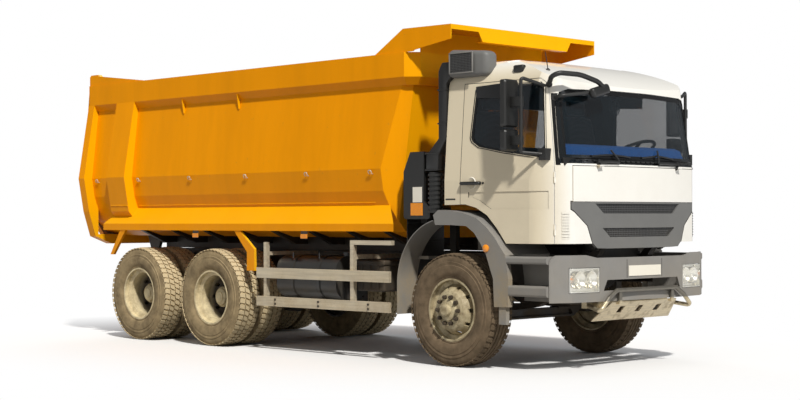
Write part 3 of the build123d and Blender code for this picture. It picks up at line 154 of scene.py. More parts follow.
class Finish:
    """A material with one Principled shader, patterned on the object coordinates."""

    def __init__(self, name, **values):
        self.material = bpy.data.materials.new(name)
        self.tree = cleared_tree(self.material)
        self.shader = add(self.tree, "BsdfPrincipled")
        for key, value in values.items():
            self.shader.inputs[key.replace("_", " ")].default_value = value
        add(self.tree, "OutputMaterial", {0: self.shader.outputs[0]})
        coords = add(self.tree, "TexCoord").outputs
        self.place, self.normal = coords["Object"], coords["Normal"]

    def grain(self, size, detail=3.0, roughness=0.55, stretch=None):
        """Noise whose blotches are about size metres across; stretch scales the axes first."""
        place = self.place
        if stretch:
            place = add(self.tree, "Mapping", {"Vector": place, "Scale": stretch}).outputs[0]
        return add(self.tree, "TexNoise", {"Vector": place, "Scale": 1 / size, "Detail": detail,
                                           "Roughness": roughness}).outputs["Fac"]

    def share(self, value, low, high, start=0.0, end=1.0, part=None):
        """Maps low..high of a value or one part of a vector to start..end; Y counts either way."""
        if part:
            value = add(self.tree, "SeparateXYZ", {0: value}).outputs[part]
        if part == "Y":
            value = add(self.tree, "Math", {0: value}, operation="ABSOLUTE").outputs[0]
        return add(self.tree, "MapRange", {"Value": value, "From Min": low, "From Max": high,
                                           "To Min": start, "To Max": end}).outputs[0]

    def layered(self, colour, *coats):
        """Lays each (mask, colour) over the colour before; a hex colour is turned to linear."""
        for mask, coat in coats:
            pair = [linear(used) if isinstance(used, str) else used for used in (colour, coat)]
            colour = add(self.tree, "Mix", {0: mask, 6: pair[0], 7: pair[1]},
                         data_type="RGBA").outputs[2]
        return colour

    def inner_mask(self, centre):
        """One on faces that look towards a place inside the shell, nought on the others."""
        toward = add(self.tree, "VectorMath", {0: tuple(centre), 1: self.place},
                     operation="SUBTRACT")
        facing = add(self.tree, "VectorMath", {0: toward.outputs[0], 1: self.normal},
                     operation="DOT_PRODUCT")
        return add(self.tree, "Math", {0: facing.outputs["Value"], 1: 0.01},
                   operation="GREATER_THAN").outputs[0]

    def dress(self, colour, roughness=None, relief=None):
        """Links the colour, the roughness and a relief given as (height, metres, strength)."""
        self.tree.links.new(colour, self.shader.inputs["Base Color"])
        if roughness:
            self.tree.links.new(roughness, self.shader.inputs["Roughness"])
        if relief:
            height, distance, strength = relief
            bumped = add(self.tree, "Bump", {"Height": height, "Distance": distance,
                                             "Strength": strength})
            self.tree.links.new(bumped.outputs[0], self.shader.inputs["Normal"])
        return self.material

    def dusty(self, clean, dust, top, bottom, amount, gloss, relief=None):
        """Clean colour under dry matt dust that thickens downwards, in blotches and specks."""
        mask = self.share(self.place, bottom, top, 1.0, 0.0, part="Z")
        for factor in (self.share(self.grain(0.35, 6.0, 0.62), 0.32, 0.68),
                       self.share(self.grain(0.018, 2.0), 0.40, 0.75, 0.65, 1.0), amount):
            mask = add(self.tree, "Math", {0: mask, 1: factor}, operation="MULTIPLY",
                       use_clamp=True).outputs[0]
        return self.dress(self.layered(clean, (mask, dust)),
                          self.share(mask, 0.0, 0.6, gloss, 0.85), relief)


# ---------------------------------------------------------------- finishes
def sheet_steel_enamel(name, scoured=False):
    """Sprayed enamel on waved plate, with a painted highlight that turns the faces towards the sun yellower;
    scoured bare inside.
    """
    skin = Finish(name, Coat_Weight=0.03, Coat_Roughness=0.25, Specular_IOR_Level=0.07)
    streak = skin.grain(0.30, 5.0, 0.6, stretch=(1.0, 1.0, 0.12))
    scuff = skin.grain(0.05, 8.0, 0.7)
    # Painted highlight: faces turned up and forward, towards the sun, are mixed towards a bright yellow.
    painted_sun_highlight = add(skin.tree, "VectorMath", {0: skin.normal, 1: (0.60, 0.0, 0.80)},
                  operation="DOT_PRODUCT").outputs["Value"]
    tone = skin.layered(
        paint_value("bed"), (skin.share(streak, 0.40, 0.70, 0.0, 0.45), paint_value("bed", 0.80)),
        (skin.share(scuff, 0.62, 0.72, 0.0, 0.35), "#B98A3C"),
        (skin.share(painted_sun_highlight, 0.30, 0.75, 0.0, 0.75), "#EFBE0A"))
    if scoured:
        scour = skin.grain(0.05, 6.0, 0.7, stretch=(0.06, 1.0, 1.0))
        plate = skin.layered("#6E655A", (skin.share(scour, 0.35, 0.65), "#A29684"),
                             (skin.share(skin.grain(0.6, 5.0), 0.42, 0.60, 0.0, 0.8), "#8F7754"))
        tone = skin.layered(tone, (skin.inner_mask(at(-3.4, 0, 2.25)), plate))
    return skin.dusty(tone, paint_value("dust"), 1.5, 1.0, 0.14, 0.36,
                      relief=(skin.grain(0.55, 1.0), 0.010, 0.5))


def cab_enamel():
    """Factory enamel over pressed steel: smooth and clear-coated, with painted shade that tints the flanks beige
    and the inside of the shell near black.
    """
    skin = Finish("cab_enamel", Coat_Weight=0.5, Coat_Roughness=0.08)
    tone = skin.layered(
        paint_value("cab"),
        (skin.share(skin.grain(0.9, 2.0), 0.3, 0.7, 0.0, 0.12), paint_value("cab", 0.86)),
        # Painted shade: faces turned sideways are tinted beige, darker than the front.
        (skin.share(skin.normal, 0.55, 0.97, 0.0, 0.72, part="Y"), "#DCCBA4"),
        # Painted shade: faces that look into the cab are painted near black.
        (skin.inner_mask(at(0.45, 0, 2.1)), "#202123"))
    return skin.dusty(tone, paint_value("dust"), 2.1, 1.05, 0.22, 0.30)


def wheel_enamel(name, dished, shade, stained, mud):
    """Cream enamel under brake dust and dried mud; shade darkens the cream as painted shade, and a dished wheel is
    painted near black in its depth as painted shade.
    """
    skin = Finish(name)
    stain = skin.share(skin.grain(0.10, 6.0, 0.65), 0.40, 0.66, 0.0, stained)
    # A shade below 1 gives a darker copy of the cream as painted shade.
    tone = skin.layered(paint_value("wheel", shade), (stain, mud))
    if dished:
        # Painted shade: the dish darkens to near black from its outer face inwards, blotched by the stain.
        painted_depth_shade = skin.layered("#2A2520", (stain, "#54483A"))
        tone = skin.layered(tone, (skin.share(skin.place, 1.10, 0.99, part="Y"), painted_depth_shade))
    else:
        rust = skin.share(skin.grain(0.035, 5.0, 0.7), 0.60, 0.70, 0.0, 0.7)
        tone = skin.layered(tone, (rust, "#4B3A27"))
    return skin.dress(tone, skin.share(stain, 0.0, 0.7, 0.45, 0.8), (stain, 0.0015, 0.5))


def vulcanised_rubber():
    """Dull tyre rubber, browned by dust; paler at the rear, where the tread is caked."""
    skin = Finish("tyre_rubber", Specular_IOR_Level=0.35, Roughness=0.88)
    film = skin.share(skin.grain(0.12, 6.0, 0.65), 0.30, 0.70, 0.15, 0.85)
    tread = skin.share(skin.normal, 0.25, 0.60, 0.75, 0.0, part="Y")
    rear = skin.share(skin.place, -0.5, 0.5, 1.0, 0.0, part="X")
    caked = skin.layered("#5F513B", (film, "#AC9873"), (tread, "#D6C49E"))
    return skin.dress(skin.layered("#463A2A", (film, "#85725A"), (rear, caked)),
                      relief=(skin.grain(0.006, 2.0), 0.0006, 0.5))


def coated_steel(name, clean, dust, top, bottom, amount, gloss, relief=None, metallic=0.0):
    """Lacquer, satin enamel or a sand-cast skin: one colour under dust, relief as its grain."""
    skin = Finish(name, Metallic=metallic)
    if relief:
        size, distance, strength = relief
        relief = (skin.grain(size, 4.0), distance, strength)
    return skin.dusty(linear(clean), linear(dust), top, bottom, amount, gloss, relief)


def moulded_polypropylene(name, colour, top, amount, roughness=0.55):
    """Injection-moulded polypropylene: fine leather grain, sun-greyed, dusty low down."""
    skin = Finish(name)
    pale = tuple(min(1.0, c * 1.35) for c in colour[:3]) + (1.0,)
    fade = skin.share(skin.grain(0.25, 4.0), 0.35, 0.7, 0.0, 0.35)
    return skin.dusty(skin.layered(colour, (fade, pale)), paint_value("dust"), top, 0.4, amount,
                      roughness, relief=(skin.grain(0.004, 1.0), 0.0004, 0.35))


def clouded(name, first, second, size, detail, low, high, most, relief=None, **values):
    """Glass, silvering or pale sheet: one even tone that drifts a little towards another."""
    skin = Finish(name, **values)
    drift = skin.share(skin.grain(size, detail), low, high, 0.0, most)
    if relief:
        relief = relief(skin)
    return skin.dress(skin.layered(first, (drift, second)), relief=relief)


def lens_flutes(skin):
    """Upright flutes of a clear lamp lens, one about every 17 mm."""
    flute = add(skin.tree, "TexWave", {"Vector": skin.place, "Scale": 18.0}, bands_direction="Y")
    return flute.outputs[1], 0.001, 0.3


def signal_plastic(name, hex_value):
    """Transparent-dyed acrylic of a marker lamp or reflector, moulded in 5 mm cells."""
    skin = Finish(name, Roughness=0.2, Coat_Weight=0.6)
    cell = add(skin.tree, "TexVoronoi", {"Vector": skin.place, "Scale": 1 / (5 * MM)})
    dark = tuple(c * 0.5 for c in linear(hex_value)[:3]) + (1.0,)
    depth = skin.share(cell.outputs["Distance"], 0.0, 0.9, 0.0, 0.5)
    return skin.dress(skin.layered(hex_value, (depth, dark)),
                      relief=(cell.outputs["Distance"], 0.0008, 0.5))


def dull_aluminium():
    """Extruded aluminium gone dull, with dust dried on."""
    skin = Finish("dull_aluminium", Metallic=0.45)
    streak = skin.grain(0.03, 4.0, 0.6, stretch=(0.05, 1.0, 1.0))
    clean = skin.layered("#BDB29C", (skin.share(streak, 0.35, 0.65), "#D8CCB2"))
    return skin.dusty(clean, linear("#A8916A"), 1.2, 0.35, 0.8, 0.45, (streak, 0.0006, 0.4))


def ground_chrome():
    """Hard chrome on the hoist's stages, ground and polished, thinly oiled."""
    skin = Finish("hard_chrome", Metallic=1.0)
    line = skin.grain(0.004, 3.0, 0.5, stretch=(1.0, 1.0, 0.02))
    return skin.dress(skin.layered("#C9C8C4", (skin.share(line, 0.4, 0.6), "#ABA89F")),
                      skin.share(line, 0.4, 0.6, 0.14, 0.28))


def brushed_steel():
    """Brushed plate of the skid guard, stone-chipped and dusty, with a greyer hoop above it."""
    skin = Finish("brushed_steel", Metallic=0.75)
    brush = skin.grain(0.006, 4.0, 0.6, stretch=(1.0, 0.03, 1.0))
    tone = skin.layered(
        "#BBAD90", (skin.share(brush, 0.35, 0.65), "#DECFAE"),
        (skin.share(skin.grain(0.08, 5.0), 0.50, 0.66, 0.0, 0.7), "#8C7A5A"),
        (skin.share(skin.place, 0.636, 0.650, 0.0, 0.9, part="Z"), "#6B6862"))
    return skin.dress(tone, skin.share(brush, 0.3, 0.7, 0.28, 0.5))


def woven_fabric(name, hex_value, shade=0.45, pitch=2.2 * MM):
    """Flat woven upholstery: threads every couple of millimetres, drawn coarser to show."""
    skin = Finish(name, Roughness=0.9, Sheen_Weight=0.3)
    drawn = pitch * 3
    # At scale 1 a wave's bands stand about 0.3 m apart.
    across, along = (add(skin.tree, "TexWave", {"Vector": skin.place, "Scale": 0.3 / drawn},
                         bands_direction=way).outputs[1] for way in "YX")
    weave = add(skin.tree, "Math", {0: across, 1: along}, operation="MULTIPLY",
                use_clamp=True).outputs[0]
    dark = tuple(c * shade for c in linear(hex_value)[:3]) + (1.0,)
    return skin.dress(skin.layered(dark, (weave, hex_value)), relief=(weave, 0.0012, 0.6))


finishes = {}


def make_finishes():
    """Every material once, by what it is."""
    finishes.update(
        bed=sheet_steel_enamel("bed_enamel"), tub=sheet_steel_enamel("tub_enamel", scoured=True),
        # The front rim's cream is darkened to 0.72 as painted shade; the rear rims keep it whole.
        cab=cab_enamel(), wheel=wheel_enamel("wheel_enamel", False, 0.72, 0.75, "#6A593E"),
        rear_wheel=wheel_enamel("dished_wheel_enamel", True, 1.0, 0.6, "#8A7A5C"),
        rubber=vulcanised_rubber(), aluminium=dull_aluminium(), chrome=ground_chrome(),
        steel=brushed_steel(), seat=woven_fabric("seat_cloth", "#33363D"),
        mat=woven_fabric("dash_mat_cloth", "#1C8DFF", shade=0.8),
        amber=signal_plastic("amber_acrylic", "#FF9C14"),
        red=signal_plastic("red_acrylic", "#B01510"),
    )
    for key, name, *dusting in (
        # Satin black lacquer sprayed on rolled steel: a soft sheen, lost low down under road dust.
        ("chassis", "chassis_lacquer", "#1D1C1B", "#6E5D45", 1.5, 0.3, 0.85, 0.48,
         (0.03, 0.0008, 0.4)),
        # Sand-cast iron, oiled and dusty: a dark, matt skin with a coarse grain.
        ("iron", "cast_iron", "#2F2D2B", "#5E4E39", 1.4, 0.4, 0.8, 0.6, (0.008, 0.0015, 0.7), 0.3),
        # Satin enamel on the tank's rolled steel: smooth enough to hold a blurred highlight.
        ("tank", "tank_enamel", "#2B2B2A", "#6E6250", 1.0, 0.4, 0.55, 0.36),
        # Satin grey enamel on the hoist's barrel: smooth, warmed by dust up to the bed's floor.
        ("hoist", "hoist_enamel", "#45413B", "#7B6A4E", 2.6, 1.0, 0.5, 0.42),
    ):
        finishes[key] = coated_steel(name, *dusting)
    grey = paint_value("moulding")
    for key, name, colour, *dusting in (
        # Bumper and steps: even grey, matt, a little dusty at the foot.
        ("moulding", "grey_moulding", grey, 1.3, 0.45),
        # Front arches: the same grey under thrown mud.
        ("arch", "arch_moulding", grey, 1.35, 1.8),
        # Mirrors, wipers, dash: black with a dull sheen.
        ("black", "black_moulding", linear("#191918"), 1.5, 0.3, 0.45),
        # Window seals and smoked deflectors: the glossiest black.
        ("gloss_black", "gloss_black_rubber", linear("#0D0D0D"), 1.2, 0.2, 0.22),
        # Grille and intake head: mid grey, matt.
        ("dark_grey", "dark_grey_moulding", linear("#676765"), 1.4, 0.35),
        # Bars of the grille's and intake's mesh: between the grey and the black behind them.
        ("mesh_grey", "mesh_grey_moulding", linear("#474747"), 1.4, 0.35),
    ):
        finishes[key] = moulded_polypropylene(name, colour, *dusting)
    finishes.update(
        # Tempered float glass, tinted dark: glossy and mostly seen through.
        glass=clouded("window_glass", "#0B171D", "#1B2A31", 0.5, 4.0, 0.4, 0.8, 0.5,
                      Roughness=0.03, IOR=1.5, Alpha=0.38, Coat_Weight=1.0, Coat_Roughness=0.02,
                      Specular_IOR_Level=1.0),
        # Clear moulded lens, nearly unseen but for its flutes.
        lens=clouded("lamp_lens", "#F4F4EE", "#E6E2D2", 0.4, 3.0, 0.3, 0.8, 0.3, lens_flutes,
                     Roughness=0.05, IOR=1.49, Alpha=0.14, Coat_Weight=1.0, Coat_Roughness=0.03),
        # Vacuum-metallised bowl: bright, softly blurred.
        reflector=clouded("lamp_reflector", "#F4F3EF", "#E6E1D2", 0.30, 3.0, 0.3, 0.7, 1.0,
                          Metallic=1.0, Roughness=0.28),
        # Blank number plate: pale painted sheet.
        plate=clouded("plate_enamel", "#ECE8DC", "#D9D0BA", 0.9, 1.0, 0.3, 0.7, 0.5,
                      Roughness=0.4),
        # Silvered glass: a clean mirror.
        mirror=clouded("mirror_glass", "#DDE2E2", "#C2C8C8", 0.1, 3.0, 0.4, 0.7, 1.0,
                       Metallic=1.0, Roughness=0.03),
    )


# The first key that a node's name starts with gives its finish.
node_finish = {
    "rim_front_": "wheel", "rims_rear_": "rear_wheel", "tyre": "rubber", "powertrain": "iron",
    "radiator": "black", "fuel_tank": "tank", "side_guards": "aluminium", "bumper": "moulding",
    "headlamps": "lens", "under_guard": "steel", "entry_steps": "moulding",
    "front_arches": "arch", "air_filter": "black", "cab_glass": "glass", "cab_floor": "chassis",
    "cab_": "cab", "dashboard": "black", "seats": "seat", "steering_wheel": "black",
    "snorkel": "dark_grey", "door_glass_": "glass", "door_": "cab", "mirrors_": "black",
    # Painted shade: the bed's subframe takes the black chassis lacquer so that the space under the bed reads dark.
    "flap_panel": "cab", "grille": "dark_grey", "bed_subframe": "chassis", "bed_tub": "tub",
    "bed_": "bed", "tailgate": "tub", "hoist_barrel": "hoist", "hoist_stage_": "chrome",
}
node_finish.update(dict.fromkeys(
    ("knuckle_", "tie_rod", "axles", "leaf_springs", "ladder_frame", "frame_brackets",
     "battery_and_air_tanks", "rear_bar"), "chassis"))


def finish_of(node):
    """The material of a frame node, by how its name starts."""
    for start, finish in node_finish.items():
        if node.startswith(start):
            return finishes[finish]
    raise ValueError(f"no finish for {node}")


# ---------------------------------------------------------------- shape helpers
def new_object(name, mesh, finish="black", body="cab", smooth=40):
    """Makes a finished piece from a bmesh and rides it on its body."""
    bmesh.ops.recalc_face_normals(mesh, faces=mesh.faces)
    data = bpy.data.meshes.new(name)
    mesh.to_mesh(data)
    mesh.free()
    data.materials.append(finishes[finish])
    if smooth is not None:
        for face in data.polygons:
            face.use_smooth = True
        data.set_sharp_from_angle(angle=radians(smooth))
    piece = bpy.data.objects.new(name, data)
    bpy.context.collection.objects.link(piece)
    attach(piece, body)
    return piece


def bevel_edges(mesh, edges, offset, segments):
    """Rounds edges and gives the verts of the new faces."""
    return bmesh.ops.bevel(mesh, geom=edges, offset=offset, offset_type="OFFSET",
                           segments=segments, profile=0.5, affect="EDGES", material=-1)["verts"]


def add_block(mesh, low, high, bevel=0.0, turn=None, segments=2):
    """A box between two corners, bevelled, and turned about its own middle."""
    low, high = Vector(low), Vector(high)
    made = bmesh.ops.create_cube(mesh, size=1.0)["verts"]
    bmesh.ops.scale(mesh, vec=high - low, verts=made)
    if bevel:
        edges = list({edge for vert in made for edge in vert.link_edges})
        made = bevel_edges(mesh, edges, bevel, segments)
    if turn:
        bmesh.ops.transform(mesh, matrix=turn.to_4x4(), verts=made)
    bmesh.ops.translate(mesh, vec=(low + high) / 2, verts=made)


def add_bar(mesh, start, end, radius, sides=12, radius_end=None):
    """A closed round bar or cone between two points."""
    along = end - start
    turn = along.to_track_quat("Z", "Y").to_matrix().to_4x4()
    bmesh.ops.create_cone(
        mesh, cap_ends=True, segments=sides, radius1=radius,
        radius2=radius if radius_end is None else radius_end, depth=along.length,
        matrix=Matrix.Translation((start + end) / 2) @ turn)


def add_hex(mesh, place, out, width, height):
    """A hexagon head standing on a surface that faces out."""
    add_bar(mesh, place, place + Vector(out) * height, width * 0.577, 6)


def add_turned(mesh, profile, centre, axis, steps=64, closed=False):
    """Spins a (distance along axis, radius) profile about an axis through centre."""
    axis = Vector(axis)
    across = axis.orthogonal().normalized()
    verts = [mesh.verts.new(centre + axis * d + across * r) for d, r in profile]
    edges = [mesh.edges.new(pair) for pair in zip(verts, verts[1:])]
    if closed:
        edges.append(mesh.edges.new((verts[-1], verts[0])))
    bmesh.ops.spin(mesh, geom=verts + edges, cent=centre, axis=axis, angle=tau, steps=steps,
                   use_merge=True, dvec=(0, 0, 0), use_duplicate=False)
    bmesh.ops.remove_doubles(mesh, verts=mesh.verts, dist=1e-6)


def add_prism(mesh, outline, shift):
    """A flat outline of points pushed along shift and closed."""
    face = mesh.faces.new([mesh.verts.new(point) for point in outline])
    made = bmesh.ops.extrude_face_region(mesh, geom=[face])["geom"]
    moved = [item for item in made if isinstance(item, bmesh.types.BMVert)]
    bmesh.ops.translate(mesh, vec=Vector(shift), verts=moved)


# ---------------------------------------------------------------- laying on surfaces
surfaces = {}
cab_front = ("cab_glass", "cab_front_panel")
backward = (-1, 0, 0)
clear = 1.7


def front_point(y, z):
    """A start point well ahead of the cab, for a line that runs back to it."""
    return at(clear, y, z)


def side_point(x, z, sign):
    """A start point well out from a side of the truck."""
    return at(x, sign * clear, z)


def touch(names, start, direction):
    """Where a line first meets one of the frame's pieces, each searched by a tree made once."""
    places = []
    for name in names:
        if name not in surfaces:
            mesh = nodes[name].data
            surfaces[name] = BVHTree.FromPolygons(
                [vert.co.copy() for vert in mesh.vertices],
                [tuple(face.vertices) for face in mesh.polygons])
        place, _, _, distance = surfaces[name].ray_cast(Vector(start), Vector(direction))
        if place is not None:
            places.append((distance, place))
    if not places:
        raise ValueError(f"nothing of {names} along the line from {tuple(start)}")
    return min(places, key=lambda found: found[0])[1]


def touch_front(y, z):
    """Where the windscreen or the front panel stands at a width and a height."""
    return touch(cab_front, front_point(y, z), backward)


def split_loop(loop, steps, closed):
    """Points along a loop or line, each run divided into equal steps."""
    loop = [Vector(point) for point in loop]
    ends = list(zip(loop, loop[1:] + loop[:1])) if closed else list(zip(loop, loop[1:]))
    points = [a.lerp(b, step / steps) for a, b in ends for step in range(steps)]
    return points if closed else points + [loop[-1]]


def add_laid_band(mesh, names, first, second, direction, lift, steps=6, closed=False, sink=0.004):
    """A thin band between two lines of start points, laid on what lies along direction."""
    direction = Vector(direction).normalized()
    top, low = [], []
    for pair in zip(split_loop(first, steps, closed), split_loop(second, steps, closed)):
        places = [touch(names, point, direction) for point in pair]
        top.append([mesh.verts.new(place - direction * lift) for place in places])
        low.append([mesh.verts.new(place + direction * sink) for place in places])
    spans = list(zip(range(len(top)), list(range(1, len(top))) + [0]))
    for here, there in spans if closed else spans[:-1]:
        a, b, c, d = top[here], top[there], low[here], low[there]
        for loop in ((a[0], b[0], b[1], a[1]), (c[0], c[1], d[1], d[0]), (a[0], c[0], d[0], b[0]),
                     (a[1], b[1], d[1], c[1])):
            mesh.faces.new(loop)
    if not closed:
        for a, c in ((top[0], low[0]), (top[-1], low[-1])):
            mesh.faces.new((a[0], a[1], c[1], c[0]))


def lay_on_front(mesh, names, widths, heights, lift, steps=6, sink=0.004):
    """A thin patch between two places across the truck and two heights, laid from ahead."""
    low, high = ([front_point(y, z) for y in widths] for z in heights)
    add_laid_band(mesh, names, low, high, backward, lift, steps, sink=sink)


def lay_on_side(mesh, names, lines, sign, lift, steps=6, sink=0.004):
    """A thin patch between two lines, each of places along and up the truck, laid from a side."""
    first, second = ([side_point(x, z, sign) for x, z in line] for line in lines)
    add_laid_band(mesh, names, first, second, (0, -sign, 0), lift, steps, sink=sink)


def add_tube(mesh, points, radius, sides=10, bend=0.03, arc=4):
    """A round tube through points, its corners turned on short arcs, closed at both ends."""
    route = [points[0]]
    for before, corner, after in zip(points, points[1:], points[2:]):
        reach = min(bend, (before - corner).length * 0.45, (after - corner).length * 0.45)
        start = corner + (before - corner).normalized() * reach
        end = corner + (after - corner).normalized() * reach
        for step in range(arc + 1):
            share = step / arc
            route.append(start.lerp(corner, share).lerp(corner.lerp(end, share), share))
    route.append(points[-1])
    rings = []
    across = None
    for number, point in enumerate(route):
        along = route[min(number + 1, len(route) - 1)] - route[max(number - 1, 0)]
        along.normalize()
        if across is None:
            across = along.orthogonal()
        across = (across - along * across.dot(along)).normalized()
        other = along.cross(across)
        rings.append([mesh.verts.new(point + (across * cos(tau * i / sides)
                                              + other * sin(tau * i / sides)) * radius)
                      for i in range(sides)])
    for one, two in zip(rings, rings[1:]):
        for i in range(sides):
            mesh.faces.new((one[i], one[(i + 1) % sides], two[(i + 1) % sides], two[i]))
    mesh.faces.new(rings[0][::-1])
    mesh.faces.new(rings[-1])


# ---------------------------------------------------------------- tyres and wheels
def carcass_section(outer, depth, half=0.149):
    """The tyre's closed section from bead to bead under its tread: (distance outboard, radius)."""
    base = outer - depth
    right = [(half - inset, radius) for inset, radius in (
        (0.032, 0.291), (0.026, 0.300), (0.020, 0.309), (0.024, 0.316), (0.012, 0.330),
        (0.003, 0.362), (0.0, 0.398), (0.001, 0.420), (0.006, 0.424), (0.004, 0.452),
        (0.010, 0.456), (0.012, 0.480), (0.020, base - 0.016), (0.034, base))]
    return [*right, (0.0, base), *[(-d, r) for d, r in reversed(right)],
            (-half + 0.04, 0.291), (half - 0.04, 0.291)]


def add_tread_block(mesh, centre, outer, depth, angle, span, y0, y1, skew, drop=0.0):
    """One block: a bar of rubber that follows the carcass across the tread."""
    corners = []
    for radius, shrink in ((outer - depth - 0.002, 0.0), (outer - drop, 0.0015)):
        for y, lean in ((y0, 0.0), (y1, skew)):
            for edge in (-span / 2, span / 2):
                turn = angle + lean + edge * (1 - shrink / 0.02)
                fall = radius - (0.008 if abs(y) > 0.12 and radius > outer - depth else 0.0)
                corners.append(mesh.verts.new(centre + by(fall * sin(turn), y, fall * cos(turn))))
    a, b, c, d, e, f, g, h = corners
    for loop in ((a, b, d, c), (e, g, h, f), (a, e, f, b), (c, d, h, g), (a, c, g, e),
                 (b, f, h, d)):
        mesh.faces.new(loop)


# Where the tread's forms begin and end across the tyre, from its middle.
shoulder_lug, centre_block, side_nib = (0.070, 0.134), (0.006, 0.060), (0.132, 0.1375)
front_ribs = ((-0.060, -0.028), (-0.019, 0.019), (0.028, 0.060))


def add_tread(mesh, centre, outer, depth, count, ribs):
    """Shoulder lugs with nibs below them and, between them, ribs or staggered centre blocks."""
    step = tau / count
    for number in range(count):
        angle = number * step
        for side in (-1, 1):
            shift = 0 if side < 0 else step / 2
            lug, block = ([side * y for y in span] for span in (shoulder_lug, centre_block))
            add_tread_block(mesh, centre, outer, depth, angle + shift, step * 0.66, *lug,
                            side * step * 0.18)
            if not ribs:
                add_tread_block(mesh, centre, outer, depth, angle + shift + step * 0.3,
                                step * 0.72, *block, side * step * 0.35)
        for side in (-1, 1):
            add_tread_block(mesh, centre, outer, depth, angle + step * 0.25, step * 0.34,
                            *[side * y for y in side_nib], 0.0, drop=0.010)
    if ribs:
        for low, high in front_ribs:
            add_turned(mesh, [(low, outer - depth), (low + 0.002, outer), (high - 0.002, outer),
                              (high, outer - depth)], centre, (0, 1, 0), 96)


def tyre_centres(low, high):
    """Middle of each tyre in a node's box, which holds one tyre or a pair side by side."""
    middle, half, single = (low + high) / 2, 0.150, 0.45
    if high.y - low.y < single:
        return [middle]
    return [Vector((middle.x, y, middle.z)) for y in (low.y + half, high.y - half)]


def wheel_body(node):
    """The wheel body that a tyre node belongs to."""
    for body, names in frame["record"]["behaviour"]["bodies"].items():
        if node in names:
            return body
    raise ValueError(node)


class TRUCK_OT_tyres(bpy.types.Operator):
    """Build the treaded tyres in place of the plain ones"""

    bl_idname = "truck.tyres"
    bl_label = "Tyres"

    def execute(self, context):
        depth, count = context.scene.truck_tyres.tread_depth, context.scene.truck_tyres.block_count
        for node in [name for name in nodes if name.startswith("tyre")]:
            low, high = (Vector(corner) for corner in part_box(node))
            outer = (high.z - low.z) / 2
            mesh = bmesh.new()
            for centre in tyre_centres(low, high):
                add_turned(mesh, carcass_section(outer, depth), centre, (0, 1, 0), 96, closed=True)
                add_tread(mesh, centre, outer, depth, count, "front" in node)
            piece = new_object(f"treaded_{node}", mesh, "rubber", wheel_body(node), 35)
            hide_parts(node)
        return {"FINISHED"}


class TRUCK_OT_wheel_trim(bpy.types.Operator):
    """Build the wheel nuts, each on its stud with a washer"""

    bl_idname = "truck.wheel_trim"
    bl_label = "Wheel trim"

    nut_count = 10
    front_face, rear_face = 1.04 + 0.165, 1.09 - 0.155
    front_circle, rear_circle = 0.128, 0.150

    def execute(self, context):
        width = context.scene.truck_trim.nut_size
        for side, sign in sides.items():
            self.ring(f"front_wheel_nuts_{side}", f"wheel_front_{side}",
                      at(0, sign * self.front_face, axle_height), sign, width, self.front_circle)
            for number in (1, 2):
                hub = joint_places[f"wheel_rear_{number}_{side}_spin"]
                self.ring(f"rear_wheel_nuts_{number}_{side}", f"wheel_rear_{number}_{side}",
                          Vector((hub.x, sign * self.rear_face, hub.z)), sign, width,
                          self.rear_circle)
        return {"FINISHED"}

    def ring(self, name, body, centre, sign, width, circle):
        """A ring of nuts on studs."""
        mesh = bmesh.new()
        out = by(0, sign, 0)
        for number in range(self.nut_count):
            turn = tau * number / self.nut_count
            spot = centre + by(circle * cos(turn), -sign * 0.002, circle * sin(turn))
            add_bar(mesh, spot, spot + out * 0.006, width * 0.62, 16)
            add_hex(mesh, spot + out * 0.004, out, width, 0.030)
            add_bar(mesh, spot + out * 0.030, spot + out * 0.046, width * 0.26, 10)
        new_object(name, mesh, "chassis", body)


